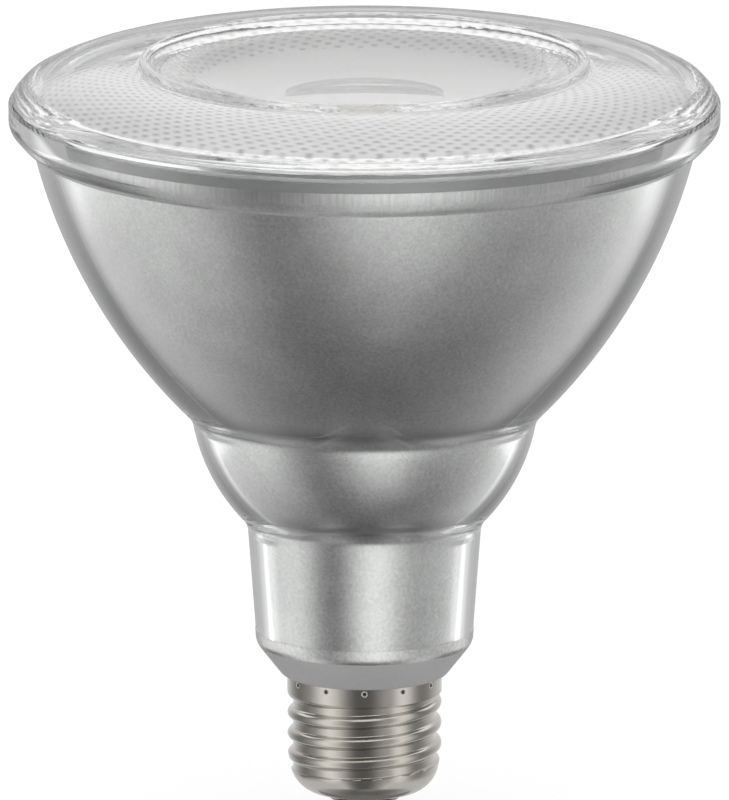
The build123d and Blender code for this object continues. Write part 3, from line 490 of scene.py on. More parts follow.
lens_outline = [
    *eased((BAND_OUTER[0], lens_face_z), (LENS_RIM, lens_face_z), RIM_CURVE, FACE_EASE, 2),
    *arc((LENS_RIM, PARTING_Z + RIM_FOOT), RIM_CURVE, DOME_EDGE, 6)[1:-1],
    *eased(RIM_CURVE, DOME_EDGE, DOME_CURVE, DOME_EASE, 2),
    *arc(DOME_EDGE, DOME_CURVE, LIP_BASE, 9)[1:],
    *arc(LIP_BASE, LIP_TOP, LIP_INNER, 6)[1:-1],
    *straight(LIP_INNER, WELL_STEPS[0], 4),
    *straight(WELL_STEPS[0], WELL_STEPS[1], 5),
    *straight(WELL_STEPS[1], WELL_STEPS[2], 6),
    WELL_STEPS[2],
    WELL_FLOOR,
    (FLOOR_DISC_RADIUS, WELL_FLOOR[1]),
    (FLOOR_DISC_RADIUS, WELL_FLOOR[1] - FLOOR_DISC_DEPTH),
    (0, WELL_FLOOR[1] - FLOOR_DISC_DEPTH),
    *arc((0, POCKET_TOP_Z), POCKET_CURVE, POCKET_TOP, 4),
    POCKET_FOOT,
    CONE_FOOT,
    *arc(CONE_FOOT, CONE_MIDDLE, CONE_TOP, 28)[1:],
    *arc(BAND_INNER, BAND_MIDDLE, BAND_OUTER, 40),
    (BAND_OUTER[0], lens_face_z),
]


def pillow_tree():
    """Node tree that presses a spiral of pillow lenses into the vertices marked for it."""
    tree = bpy.data.node_groups.new("pillow_lenses", "GeometryNodeTree")
    tree.interface.new_socket("Geometry", in_out="INPUT", socket_type="NodeSocketGeometry")
    for name in ("Count", "Step", "Curve", "Rise"):
        kind = "NodeSocketInt" if name == "Count" else "NodeSocketFloat"
        tree.interface.new_socket(name, in_out="INPUT", socket_type=kind)
    tree.interface.new_socket("Material", in_out="INPUT", socket_type="NodeSocketMaterial")
    tree.interface.new_socket("Geometry", in_out="OUTPUT", socket_type="NodeSocketGeometry")
    given = link(tree, "NodeGroupInput")
    index = link(tree, "GeometryNodeInputIndex").outputs[0]
    turn = calc(tree, "MULTIPLY", index, math.tau * GOLDEN_TURN)
    reach = calc(tree, "MULTIPLY", calc(tree, "SQRT", index), given.outputs["Step"])
    spot = link(tree, "ShaderNodeCombineXYZ", {
        0: calc(tree, "MULTIPLY", calc(tree, "COSINE", turn), reach),
        1: calc(tree, "MULTIPLY", calc(tree, "SINE", turn), reach),
    })
    centres = link(tree, "GeometryNodePoints", {"Count": given.outputs["Count"], "Position": spot.outputs[0]})
    place = link(tree, "GeometryNodeInputPosition").outputs[0]
    flat = link(tree, "ShaderNodeVectorMath", {0: place, 1: (1, 1, 0)}, operation="MULTIPLY").outputs[0]
    near = link(tree, "GeometryNodeProximity", {0: centres.outputs[0]}, target_element="POINTS")
    tree.links.new(flat, near.inputs["Sample Position"])
    away = near.outputs["Distance"]
    sag = calc(tree, "DIVIDE", calc(tree, "MULTIPLY", away, away),
               calc(tree, "MULTIPLY", given.outputs["Curve"], 2.0))
    rise = calc(tree, "MAXIMUM", calc(tree, "SUBTRACT", given.outputs["Rise"], sag), 0.0)
    marked = link(tree, "GeometryNodeInputNamedAttribute", {"Name": "pillow"}, data_type="FLOAT").outputs[0]
    normal = link(tree, "GeometryNodeInputNormal").outputs[0]
    shift = link(tree, "ShaderNodeVectorMath", {0: normal}, operation="SCALE")
    tree.links.new(calc(tree, "MULTIPLY", rise, marked), shift.inputs["Scale"])
    pressed = link(tree, "GeometryNodeSetPosition", {
        "Geometry": given.outputs["Geometry"], "Offset": shift.outputs[0],
    })
    joined = link(tree, "GeometryNodeRealizeInstances", {0: pressed.outputs[0]})
    finished = link(tree, "GeometryNodeSetMaterial", {
        "Geometry": joined.outputs[0], "Material": given.outputs["Material"],
    })
    out = link(tree, "NodeGroupOutput")
    tree.links.new(finished.outputs[0], out.inputs[0])
    return tree


def shaped(piece, tree, **inputs):
    """Runs a node tree on a piece and keeps the result as the piece's own plain mesh."""
    modifier = piece.modifiers.new(tree.name, "NODES")
    modifier.node_group = tree
    sockets = {item.name: item.identifier for item in tree.interface.items_tree if item.in_out == "INPUT"}
    for name, value in inputs.items():
        modifier[sockets[name]] = value
    made = piece.evaluated_get(bpy.context.evaluated_depsgraph_get())
    mesh = bpy.data.meshes.new_from_object(made)
    piece.modifiers.remove(modifier)
    mesh.name = piece.name
    piece.data = mesh


lens = turned("front_lens_moulding", lens_outline, LENS_SEGMENTS)
pillow = lens.data.attributes.new("pillow", "FLOAT", "POINT")
for vertex, mark in zip(lens.data.vertices, pillow.data):
    radius, height = math.hypot(vertex.co.x, vertex.co.y) / MM, vertex.co.z / MM
    on_band = BAND_INNER[0] + 0.3 < radius < BAND_OUTER[0] - 0.2 and height < BAND_INNER[1]
    on_cone = PRISM_RADIUS < radius < CONE_TOP[0] - 0.3 and height < radius + PRISM_SIDE_Z
    on_steps = WELL_STEPS[2][0] + 0.2 < radius < LIP_INNER[0] and height > WELL_STEPS[2][1]
    mark.value = 1.0 if on_band else PRISM_GAIN if on_cone else STEP_GAIN if on_steps else 0.0


def span(tree, first, second):
    """Length of the diagonal over two lengths at right angles."""
    return calc(tree, "SQRT", calc(tree, "ADD", calc(tree, "MULTIPLY", first, first),
                                   calc(tree, "MULTIPLY", second, second)))


def lens_material():
    """Clear moulding with painted shade: a little grey painted into the creases between the pillow lenses."""
    material = clear_material("clear_lens", CLEAR_TINT, LENS_RIPPLE)
    tree = material.node_tree
    x, y, z = here(tree)
    radius = span(tree, x, y)
    turn = calc(tree, "DIVIDE", calc(tree, "ARCTAN2", y, x), math.tau)
    index = calc(tree, "DIVIDE", calc(tree, "MULTIPLY", radius, radius), (PILLOW_STEP * MM) ** 2)
    climbs = [round(arms * GOLDEN_TURN) - arms * GOLDEN_TURN for arms in PILLOW_ARMS]
    offsets = []
    for arms, climb in zip(PILLOW_ARMS, climbs):
        phase = calc(tree, "ADD", calc(tree, "MULTIPLY", turn, arms), calc(tree, "MULTIPLY", index, climb))
        offsets.append(calc(tree, "SUBTRACT", calc(tree, "FRACT", phase), 0.5))
    around = calc(tree, "SUBTRACT", calc(tree, "MULTIPLY", offsets[0], climbs[1]),
                  calc(tree, "MULTIPLY", offsets[1], climbs[0]))
    outward = calc(tree, "SUBTRACT", calc(tree, "MULTIPLY", offsets[1], PILLOW_ARMS[0]),
                   calc(tree, "MULTIPLY", offsets[0], PILLOW_ARMS[1]))
    aside = calc(tree, "MULTIPLY", calc(tree, "MULTIPLY", around, math.tau / CREASE_STRETCH), radius)
    ring = (PILLOW_STEP * MM) ** 2 / 2 * CREASE_STRETCH
    along = calc(tree, "DIVIDE", calc(tree, "MULTIPLY", outward, ring), radius)
    # Painted shade: a grey spot at each crease between the pillow lenses, on the band and, fainter, on the
    # well's steps.
    crease = soft_step(tree, span(tree, aside, along), CREASE_RADIUS * MM, 0.0)
    patterned = 0.0
    for side, level, inner, outer, strength in (
        ("LESS_THAN", BAND_INNER[1] + 0.1, BAND_INNER[0], BAND_OUTER[0] - 0.1, 1.0),
        ("GREATER_THAN", WELL_STEPS[2][1], WELL_STEPS[2][0], LIP_INNER[0], STEP_CREASE_SHADE),
    ):
        zone = calc(tree, "MULTIPLY", calc(tree, side, z, level * MM), strength)
        zone = calc(tree, "MULTIPLY", zone, calc(tree, "GREATER_THAN", radius, inner * MM))
        zone = calc(tree, "MULTIPLY", zone, calc(tree, "LESS_THAN", radius, outer * MM))
        patterned = calc(tree, "ADD", patterned, zone)
    shade = tinted(tree, calc(tree, "MULTIPLY", crease, patterned), CLEAR_TINT, CREASE_SHADE_TINT)
    tree.links.new(shade, tree.nodes["Principled BSDF"].inputs["Base Color"])
    return material


clear_lens = lens_material()
shaped(lens, pillow_tree(), Count=int((BAND_OUTER[0] / PILLOW_STEP) ** 2) + 1, Step=PILLOW_STEP * MM,
       Curve=PILLOW_CURVE * MM, Rise=PILLOW_RISE * MM, Material=clear_lens)
seat(lens, clear_lens, "clear_lens", "front_lens")

# Lens seal: a grey silicone cord pressed into the flange's groove under the lens, which keeps water
# out of the joint, and a darker grey ring that fills the gap between the heat shell's top edge and the glass.
SEAL_GREY = (0.35, 0.35, 0.36, 1)
SEAL_PLAY = 0.05
SEAL_EASE = 0.25
BEAD_GREY = (0.3, 0.3, 0.3, 1)
BEAD_FOOT_Z = 119.9
BEAD_PLAY = 0.02
BEAD_STEPS = 6
seal_foot_z, seal_top_z = PARTING_Z - SEAL_DEPTH + SEAL_PLAY, PARTING_Z - SEAL_PLAY
seal_in, seal_out = SEAL_RADIUS - SEAL_HALF + SEAL_PLAY, SEAL_RADIUS + SEAL_HALF - SEAL_PLAY
seal_corners = [
    (seal_in, seal_foot_z), (seal_out, seal_foot_z), (seal_out, seal_top_z), (seal_in, seal_top_z),
]
seal_outline = []
for i, corner in enumerate(seal_corners):
    seal_outline += eased(seal_corners[i - 1], corner, seal_corners[(i + 1) % 4], SEAL_EASE)
silicone = grained_material("silicone", SEAL_GREY, 0.5, 900.0)
seat(turned("seal_ring", seal_outline), silicone, "silicone", "lens_seal")
bead_levels = [BEAD_FOOT_Z + (SHELL_TOP_Z - BEAD_FOOT_Z) * i / BEAD_STEPS for i in range(BEAD_STEPS + 1)]
bead_outline = [(bowl_radius(UPPER_BOWL, z, shell_depth) + BEAD_PLAY, z) for z in bead_levels]
bead_outline += [(bowl_radius(UPPER_BOWL, z, GLASS_WALL) - BEAD_PLAY, z) for z in reversed(bead_levels)]
dark_gap_ring = grained_material("dark_gap_ring", BEAD_GREY, 0.5, 900.0)
seat(turned("dark_gap_fill", bead_outline), dark_gap_ring, "silicone")

# Optic holder: a matt white moulding, a cup round the lens's cone with a foot on the LED board and a
# flange that slopes down under the lens's band to the shell's edge. It centres the lens on the emitter.
CUP_LIT_WHITE = (0.96, 0.96, 0.955, 1)
FLANGE_SHADED_WHITE = (0.82, 0.82, 0.82, 1)
FLANGE_TOP_Z = 122.75
HOLDER_WALL = 1.2
HOLDER_SLIP = 0.25
CUP_LEAN = 0.7
HOLDER_RADIUS = 53.9
BOARD_Z = 97.5
CUP_FOOT_IN = 9.9
CUP_FOOT_OUT = 11.4
CUP_FOOT_TOP_Z = BOARD_Z + 1.4
HOLDER_MOUTH = (37.2, 126.3)


def cup(offset):
    """Section points up the cup's wall at an offset from the lens's cone, cut off at its mouth."""
    shift = CUP_LEAN * offset
    face = arc(*[(r + shift, z - shift) for r, z in (CONE_FOOT, CONE_MIDDLE, CONE_TOP)], 40)
    return [point for point in face if point[1] < HOLDER_MOUTH[1] - 0.1]


inner_cup, outer_cup = cup(HOLDER_SLIP), cup(HOLDER_SLIP + HOLDER_WALL)
holder_outline = [
    (CUP_FOOT_IN, BOARD_Z), (CUP_FOOT_OUT, BOARD_Z), (CUP_FOOT_OUT, CUP_FOOT_TOP_Z),
    *[point for point in outer_cup if CUP_FOOT_TOP_Z < point[1] < FLANGE_TOP_Z - HOLDER_WALL],
    (HOLDER_RADIUS, FLANGE_TOP_Z - HOLDER_WALL),
    (HOLDER_RADIUS, FLANGE_TOP_Z),
    (HOLDER_MOUTH[0] + HOLDER_WALL, HOLDER_MOUTH[1]),
    HOLDER_MOUTH,
    *reversed([point for point in inner_cup if point[0] > CUP_FOOT_IN]),
]


def holder_material():
    """White moulding, painted brighter inside the cup as painted light and greyer on the flange round it as
    painted shade.
    """
    material = grained_material("white_plastic", CUP_LIT_WHITE, 0.55, 1500.0, 0.06)
    tree = material.node_tree
    x, y, _ = here(tree)
    # Painted light and shade: the colour goes from the cup's bright white to the flange's greyer white
    # outward.
    outward = link(tree, "ShaderNodeMapRange", {
        "Value": span(tree, x, y), "From Min": CONE_TOP[0] * MM, "From Max": BAND_INNER[0] * MM,
    }).outputs[0]
    shade = tinted(tree, outward, tree.nodes["Group"].outputs["Colour"], FLANGE_SHADED_WHITE)
    tree.links.new(shade, tree.nodes["Principled BSDF"].inputs["Base Color"])
    return material


white_plastic = holder_material()
seat(turned("holder_cup", holder_outline), white_plastic, "white_plastic", "optic_holder")

# Driver housing: a grey moulded tube in the neck. Its shoulder stands on the glass chamfer, where it
# shows through, and its lower end plugs into the screw shell.
HOUSING_GREY = (0.42, 0.42, 0.42, 1)
PLUG_BORE = 10.52
PLUG_RADIUS = 11.72
PLUG_FOOT_Z = 8.75
PLUG_TOP_Z = 20.5
PLUG_MOUTH_Z = 26.01
NECK_STEP_RADIUS = 12.72
NECK_STEP_Z = 21.1
SHOULDER_FOOT_Z = 27.21
TUBE_BORE = 13.07
TUBE_RADIUS = 14.27
TUBE_FOOT_Z = 29.2
TUBE_FLOOR_Z = 30.65
TUBE_TOP_Z = 63.33
housing_outline = [
    (PLUG_BORE, PLUG_FOOT_Z), (PLUG_RADIUS, PLUG_FOOT_Z), (PLUG_RADIUS, PLUG_TOP_Z),
    (NECK_STEP_RADIUS, NECK_STEP_Z), (NECK_STEP_RADIUS, SHOULDER_FOOT_Z),
    (TUBE_RADIUS, TUBE_FOOT_Z), (TUBE_RADIUS, TUBE_TOP_Z), (TUBE_BORE, TUBE_TOP_Z),
    (TUBE_BORE, TUBE_FLOOR_Z), (PLUG_BORE, PLUG_MOUTH_Z),
]
grey_plastic = grained_material("grey_plastic", HOUSING_GREY, 0.5, 1200.0, 0.1)
seat(turned("housing_tube", housing_outline, 128), grey_plastic, "grey_plastic", "driver_housing")

# Screw shell: a thin nickel-plated sheet with a rolled right-hand thread, seven turns to the inch,
# running out at the rounded foot. Twelve stake points round the collar grip the housing inside it.
THREAD_RADIUS = 13.12
THREAD_PITCH = 3.629
THREAD_DEPTH = 0.95
THREAD_START_Z = 0.83
ROOT_DIP = 0.08
CREST_ARC = 0.29 * THREAD_PITCH
ROOT_ARC = 0.19 * THREAD_PITCH
CAP_SHEET = 0.35
COLLAR_RADIUS = 13.17
COLLAR_FOOT_Z = 20.4
COLLAR_ROLL = 0.6
COLLAR_TOP_Z = 24.0
FOOT_Z = 3.9
FOOT_RADIUS = 9.62
FOOT_OPENING = 8.02
RUNOUT_MIDDLE = (11.72, 5.65)
RUNOUT_END = (12.57, 7.6)
RUNOUT_TOP = (13.32, 11.7)
STAKE_COUNT = 12
STAKE_RADIUS = 0.55
STAKE_DEPTH = 0.22
STAKE_Z = 23.275
STAKE_SHADE_BLACK = (0.03, 0.03, 0.028, 1)
STAKE_BUMP = -30.0
STAKE_EDGE = (0.95, 0.55)
BURR_AND_HIGHLIGHT_EDGE = (1.4, 1.0)
BURR_HIGHLIGHT_GREY = (0.5, 0.49, 0.46, 1)
NICKEL = (0.66, 0.63, 0.58, 1)
FOOT_ROWS = 24
RUNOUT_ROWS = 27
SHELL_ROW = 0.15
ROLL_ROWS = 8
COLLAR_ROWS = 24
THREAD_SEGMENTS = 300
THREAD_CREASE = 50


def shell_face(inset):
    """Rows up one face of the shell: radius with the thread at its root, height, and limit at its crest."""
    crest, collar = THREAD_RADIUS - inset, COLLAR_RADIUS - inset
    root = crest - THREAD_DEPTH
    runout = ((FOOT_RADIUS, FOOT_Z), RUNOUT_MIDDLE, RUNOUT_END, RUNOUT_TOP)
    foot, middle, end, top = [(r - inset, z + inset) for r, z in runout]
    limit = arc(foot, middle, end, FOOT_ROWS) + straight(end, top, RUNOUT_ROWS)[1:]
    rows = [(min(r, root), z, min(r, crest)) for r, z in limit]
    start = rows[-1][1]
    count = round((COLLAR_FOOT_Z - start) / SHELL_ROW)
    for i in range(1, count + 1):
        rows.append((root, start + (COLLAR_FOOT_Z - start) * i / count, crest))
    for i in range(1, ROLL_ROWS + 1):
        low = root + (collar - root) * i / ROLL_ROWS
        rows.append((low, COLLAR_FOOT_Z + COLLAR_ROLL * i / ROLL_ROWS, max(low, crest)))
    start = rows[-1][1]
    for i in range(1, COLLAR_ROWS + 1):
        rows.append((collar, start + (COLLAR_TOP_Z - start) * i / COLLAR_ROWS, collar))
    return rows


def thread_tree():
    """Node tree that rolls the thread's wave into a plain shell between its root and crest limits."""
    tree = bpy.data.node_groups.new("rolled_thread", "GeometryNodeTree")
    tree.interface.new_socket("Geometry", in_out="INPUT", socket_type="NodeSocketGeometry")
    for name in ("Pitch", "Start Height", "Root Radius", "Depth", "Dip", "Crest Arc", "Root Arc"):
        tree.interface.new_socket(name, in_out="INPUT", socket_type="NodeSocketFloat")
    tree.interface.new_socket("Material", in_out="INPUT", socket_type="NodeSocketMaterial")
    tree.interface.new_socket("Geometry", in_out="OUTPUT", socket_type="NodeSocketGeometry")
    given = link(tree, "NodeGroupInput").outputs
    place = link(tree, "GeometryNodeInputPosition").outputs[0]
    x, y, z = link(tree, "ShaderNodeSeparateXYZ", {0: place}).outputs
    angle = calc(tree, "ARCTAN2", y, x)
    climbed = calc(tree, "DIVIDE", calc(tree, "SUBTRACT", z, given["Start Height"]), given["Pitch"])
    turns = calc(tree, "SUBTRACT", climbed, calc(tree, "DIVIDE", angle, math.tau))
    off_crest = calc(tree, "SUBTRACT", turns, calc(tree, "ROUND", turns))
    away = calc(tree, "MULTIPLY", calc(tree, "ABSOLUTE", off_crest), given["Pitch"])
    both = calc(tree, "ADD", given["Crest Arc"], given["Root Arc"])
    rise = calc(tree, "ADD", given["Depth"], given["Dip"])
    lower = calc(tree, "SUBTRACT", both, rise)

    def chord(radius, offset):
        inside = calc(tree, "SUBTRACT", calc(tree, "MULTIPLY", radius, radius),
                      calc(tree, "MULTIPLY", offset, offset))
        return calc(tree, "SQRT", calc(tree, "MAXIMUM", inside, 0.0))

    reach = chord(both, lower)
    join = calc(tree, "DIVIDE", calc(tree, "MULTIPLY", reach, given["Crest Arc"]), both)
    crest = calc(tree, "ADD", calc(tree, "SUBTRACT", given["Depth"], given["Crest Arc"]),
                 chord(given["Crest Arc"], away))
    to_foot = calc(tree, "SUBTRACT", calc(tree, "MINIMUM", away, reach), reach)
    root = calc(tree, "SUBTRACT", calc(tree, "SUBTRACT", given["Root Arc"], given["Dip"]),
                chord(given["Root Arc"], to_foot))
    on_crest = calc(tree, "LESS_THAN", away, join)
    wave = calc(tree, "ADD", calc(tree, "MULTIPLY", on_crest, crest),
                calc(tree, "MULTIPLY", calc(tree, "SUBTRACT", 1.0, on_crest), root))

    def stored(name):
        return link(tree, "GeometryNodeInputNamedAttribute", {"Name": name}, data_type="FLOAT").outputs[0]

    rolled = calc(tree, "ADD", calc(tree, "SUBTRACT", given["Root Radius"], stored("inset")), wave)
    radius = calc(tree, "MINIMUM", calc(tree, "MAXIMUM", rolled, stored("low")), stored("high"))
    spot = link(tree, "ShaderNodeCombineXYZ", {
        0: calc(tree, "MULTIPLY", calc(tree, "COSINE", angle), radius),
        1: calc(tree, "MULTIPLY", calc(tree, "SINE", angle), radius),
        2: z,
    })
    moved = link(tree, "GeometryNodeSetPosition", {
        "Geometry": given["Geometry"], "Position": spot.outputs[0],
    })
    joined = link(tree, "GeometryNodeRealizeInstances", {0: moved.outputs[0]})
    finished = link(tree, "GeometryNodeSetMaterial", {
        "Geometry": joined.outputs[0], "Material": given["Material"],
    })
    out = link(tree, "NodeGroupOutput")
    tree.links.new(finished.outputs[0], out.inputs[0])
    return tree


outer_rows = [(FOOT_OPENING, FOOT_Z, FOOT_OPENING), *shell_face(0)]
inner_rows = [(FOOT_OPENING, FOOT_Z + CAP_SHEET, FOOT_OPENING), *shell_face(CAP_SHEET)]
shell_rows = [(*row, 0) for row in outer_rows] + [(*row, CAP_SHEET) for row in reversed(inner_rows)]
cap = turned("nickel_screw_shell", [row[:2] for row in shell_rows], THREAD_SEGMENTS, THREAD_CREASE)
low, high, inset = [cap.data.attributes.new(name, "FLOAT", "POINT") for name in ("low", "high", "inset")]
stake_spread = THREAD_SEGMENTS // STAKE_COUNT
for i in range(len(cap.data.vertices)):
    root, z, crest, sheet = shell_rows[i // THREAD_SEGMENTS]
    aside = (i + stake_spread // 2) % stake_spread - stake_spread // 2
    away = math.hypot(aside * math.tau * COLLAR_RADIUS / THREAD_SEGMENTS, z - STAKE_Z)
    punch = 0.0
    if sheet == 0 and away < STAKE_RADIUS:
        punch = max(0.0, math.sqrt(STAKE_RADIUS**2 - away**2) - STAKE_RADIUS + STAKE_DEPTH)
    low.data[i].value, high.data[i].value = (root - punch) * MM, (crest - punch) * MM
    inset.data[i].value = sheet * MM


def nickel_material():
    """Bright nickel plate with stake points on the collar: painted shade in each punched hole, and a painted
    highlight on the dull burr ring round it.
    """
    material = grained_material("nickel_sheet", NICKEL, 0.17, 700.0, 0.15, 0.12, 0.004, 1.0)
    tree = material.node_tree
    shader, bump, grain = [tree.nodes[name] for name in ("Principled BSDF", "Bump", "Group")]
    x, y, z = here(tree)
    angle = calc(tree, "ADD", calc(tree, "ARCTAN2", y, x), math.pi / 2)
    steps = calc(tree, "MULTIPLY", angle, STAKE_COUNT / math.tau)
    aside = calc(tree, "MULTIPLY", calc(tree, "SUBTRACT", steps, calc(tree, "ROUND", steps)),
                 COLLAR_RADIUS * MM * math.tau / STAKE_COUNT)
    away = span(tree, aside, calc(tree, "SUBTRACT", z, STAKE_Z * MM))
    mark = math.sqrt(STAKE_RADIUS**2 - (STAKE_RADIUS - STAKE_DEPTH) ** 2) * MM
    # Painted shade: each punched hole is painted near black. Painted highlight: the dull grey burr ring round
    # it is painted lighter.
    punched_and_shaded = soft_step(tree, away, *[edge * mark for edge in STAKE_EDGE])
    burr_and_highlight = soft_step(tree, away, *[edge * mark for edge in BURR_AND_HIGHLIGHT_EDGE])
    ring_highlighted = tinted(tree, burr_and_highlight, grain.outputs["Colour"], BURR_HIGHLIGHT_GREY)
    tree.links.new(tinted(tree, punched_and_shaded, ring_highlighted, STAKE_SHADE_BLACK), shader.inputs["Base Color"])
    tree.links.new(calc(tree, "SUBTRACT", 1.0, burr_and_highlight), shader.inputs["Metallic"])
    height = calc(tree, "MULTIPLY_ADD", punched_and_shaded, STAKE_BUMP, grain.outputs["Height"])
    tree.links.new(height, bump.inputs["Height"])
    return material


nickel_sheet = nickel_material()
shaped(cap, thread_tree(), **{
    "Pitch": THREAD_PITCH * MM, "Start Height": THREAD_START_Z * MM, "Depth": THREAD_DEPTH * MM,
    "Root Radius": (THREAD_RADIUS - THREAD_DEPTH) * MM, "Dip": ROOT_DIP * MM,
    "Crest Arc": CREST_ARC * MM, "Root Arc": ROOT_ARC * MM, "Material": nickel_sheet,
})
cap.data.set_sharp_from_angle(angle=math.radians(THREAD_CREASE))
seat(cap, nickel_sheet, "nickel_sheet", "screw_shell")

# Insulator and centre contact: a glossy black vitrified disc closes the shell's foot, and a tinned
# contact is riveted through its middle.
INSULATOR_BLACK = (0.02, 0.02, 0.023, 1)
TINNED = (0.62, 0.6, 0.57, 1)
CONTACT_RADIUS = 4.7
CONTACT_EDGE = 0.7
CONTACT_CURVE = (4.495, 0.205)
RIVET_RADIUS = 1.4
RIVET_HOLE = 1.45
RIVET_HEAD = 2.2
RIVET_TOP_Z = 6.35
CONTACT_TOP_Z = 1.8
DISC_FACE = (5.4, CONTACT_TOP_Z)
DISC_RADIUS = 7.92
DISC_LIP = 9.17
DISC_LIP_Z = 4.3
DISC_TOP_Z = 5.75
DISC_EASE = 0.4
insulator_outline = [
    (RIVET_HOLE, CONTACT_TOP_Z),
    *eased((RIVET_HOLE, CONTACT_TOP_Z), DISC_FACE, (DISC_RADIUS, FOOT_Z), DISC_EASE),
    (DISC_RADIUS, FOOT_Z), (DISC_RADIUS, DISC_LIP_Z), (DISC_LIP, DISC_LIP_Z),
    (DISC_LIP, DISC_TOP_Z), (RIVET_HOLE, DISC_TOP_Z),
]
contact_outline = [
    (0, 0),
    *arc((CONTACT_RADIUS - CONTACT_EDGE, 0), CONTACT_CURVE, (CONTACT_RADIUS, CONTACT_EDGE), 6),
    (CONTACT_RADIUS, CONTACT_TOP_Z), (RIVET_RADIUS, CONTACT_TOP_Z), (RIVET_RADIUS, DISC_TOP_Z),
    (RIVET_HEAD, DISC_TOP_Z), (RIVET_HEAD, RIVET_TOP_Z), (0, RIVET_TOP_Z),
]
black_insulator = grained_material("black_insulator", INSULATOR_BLACK, 0.15, 500.0, 0.4, 0.1)
contact_metal = grained_material("contact_metal", TINNED, 0.3, 1500.0, 0.3, 0.2, 0.02, 1.0)
seat(turned("foot_insulator", insulator_outline, 128), black_insulator, "black_insulator", "base_insulator")
seat(turned("contact_button", contact_outline, 96), contact_metal, "contact_metal", "centre_contact")

# Light engine and driver: the emitter on its board and pedestal, and the driver's board, capacitors,
# transformer and leads. They sit inside the shell as bought-in parts, each with its own finish.
ENGINE_FINISHES = (
    ("thermal_silicone", (0.45, 0.5, 0.55, 1), 0.8, 1500.0, 0.3, 0.0, ("thermal_pad",)),
    ("white_board", (0.85, 0.86, 0.85, 1), 0.3, 900.0, 0.06, 0.0, ("led_board",)),
    ("white_ceramic", (0.88, 0.88, 0.86, 1), 0.35, 2000.0, 0.05, 0.0, ("led_carrier",)),
    ("phosphor", (0.93, 0.91, 0.84, 1), 0.5, 2500.0, 0.1, 0.0, ("phosphor_disc",)),
    ("screw_steel", (0.6, 0.6, 0.6, 1), 0.3, 1500.0, 0.3, 1.0, ("board_screws",)),
    ("driver_board_green", (0.05, 0.25, 0.12, 1), 0.3, 600.0, 0.3, 0.0, ("driver_board",)),
    ("winding_tape", (0.75, 0.6, 0.1, 1), 0.3, 800.0, 0.3, 0.0, ("transformer_winding",)),
    ("film_box", (0.7, 0.45, 0.08, 1), 0.3, 700.0, 0.3, 0.0, ("film_capacitor",)),
    ("resistor_body", (0.3, 0.4, 0.35, 1), 0.5, 1200.0, 0.3, 0.0, ("fuse_resistor",)),
    ("red_wire", (0.5, 0.04, 0.03, 1), 0.45, 1500.0, 0.3, 0.0, ("led_lead_plus",)),
    ("capacitor_sleeve", (0.05, 0.06, 0.1, 1), 0.25, 500.0, 0.3, 0.0, ("bulk_capacitor", "output_capacitor")),
    ("ferrite", (0.1, 0.1, 0.1, 1), 0.7, 1800.0, 0.3, 0.0, ("transformer_core", "choke")),
    ("black_package", (0.04, 0.04, 0.04, 1), 0.55, 2000.0, 0.3, 0.0, ("rectifier", "controller")),
    ("black_wire", (0.03, 0.03, 0.03, 1), 0.45, 1500.0, 0.3, 0.0,
     ("contact_lead", "shell_lead", "led_lead_minus")),
)


def dress(node, material):
    """Gives a CAD node its material, with its mesh as packed."""
    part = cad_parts[node]
    part.data.materials.clear()
    part.data.materials.append(material)


dress("led_pedestal", satin_aluminium)
for slot, colour, roughness, scale, tint, metal, nodes in ENGINE_FINISHES:
    material = grained_material(slot, colour, roughness, scale, tint, metal=metal)
    for node in nodes:
        dress(node, material)

# Studio: a pale paper floor in a white surround, seen from 13 degrees above through a long lens.
# Reflections and the glass see soft panels and dark flags round the lamp, scattered light comes mostly
# from overhead, and a card round the base, hidden from the camera, gives the nickel its bands.
FLOOR_WHITE = (0.93, 0.93, 0.93, 1)
FLOOR_HALF = 6.0
FLOOR_DROP = 0.2
FLOOR_GLOW = 0.2
CAMERA_GLOW = 0.65
VIEW_TILT = math.radians(13.0)
PIXELS_PER_MM = 5.885
IMAGE_HEIGHT = 800
LONG_LENS = 1000.0
SENSOR = 36.0
AIM_Z = 71.58
AROUND = (
    (-180, 0.6), (-132, 1.0), (-118, 1.13), (-104, 1.24), (-90, 1.33), (-76, 1.28), (-62, 0.88), (-50, 0.42),
    (-38, 0.25), (-30, 0.28), (-16, 0.74), (-3, 1.35), (12, 1.72), (22, 1.62), (33, 1.22), (46, 0.78),
    (60, 0.6), (75, 0.66), (90, 0.76), (105, 0.94), (120, 1.07), (134, 1.1), (180, 0.6),
)
UNDERNEATH = 0.15
UNDERNEATH_LEAN = (-82.0, -14.0)
BEHIND = (0.2, 0.5)
BEHIND_LEAN = (-30.0, -10.0)
BEHIND_TURN = (139.0, 151.0)
SIDE_TURN = 126.0
SIDE_PANEL = {"bright": 1.8, "lean": -21.0, "width": (16.0, 6.0), "height": (8.0, 3.0)}
SIDE_FLAG = {"bright": 0.45, "lean": -11.0, "width": (24.0, 14.0), "height": (7.0, 4.0)}
SKY = (
    (-180, 1.0), (-166, 1.0), (-158, 0.6), (-150, 0.6), (-142, 1.0), (-118, 1.0), (-104, 0.25), (-90, 0.2),
    (-76, 0.9), (-50, 0.8), (-36, 0.3), (-24, 0.7), (0, 0.8), (24, 0.7), (38, 0.3), (52, 0.8), (78, 0.9),
    (92, 0.2), (106, 0.25), (120, 1.0), (144, 1.0), (152, 0.6), (160, 0.6), (168, 1.0), (180, 1.0),
)
SKY_LEAN = (0.0, 13.0)
OVERHEAD = 0.95
OVERHEAD_LEAN = (44.0, 56.0)
SCATTERED = (0.9, 2.3)


def between(tree, share, first, second):
    """Value between two values."""
    return link(tree, "ShaderNodeMix", {"Factor": share, 2: first, 3: second}, clamp_factor=True).outputs[0]


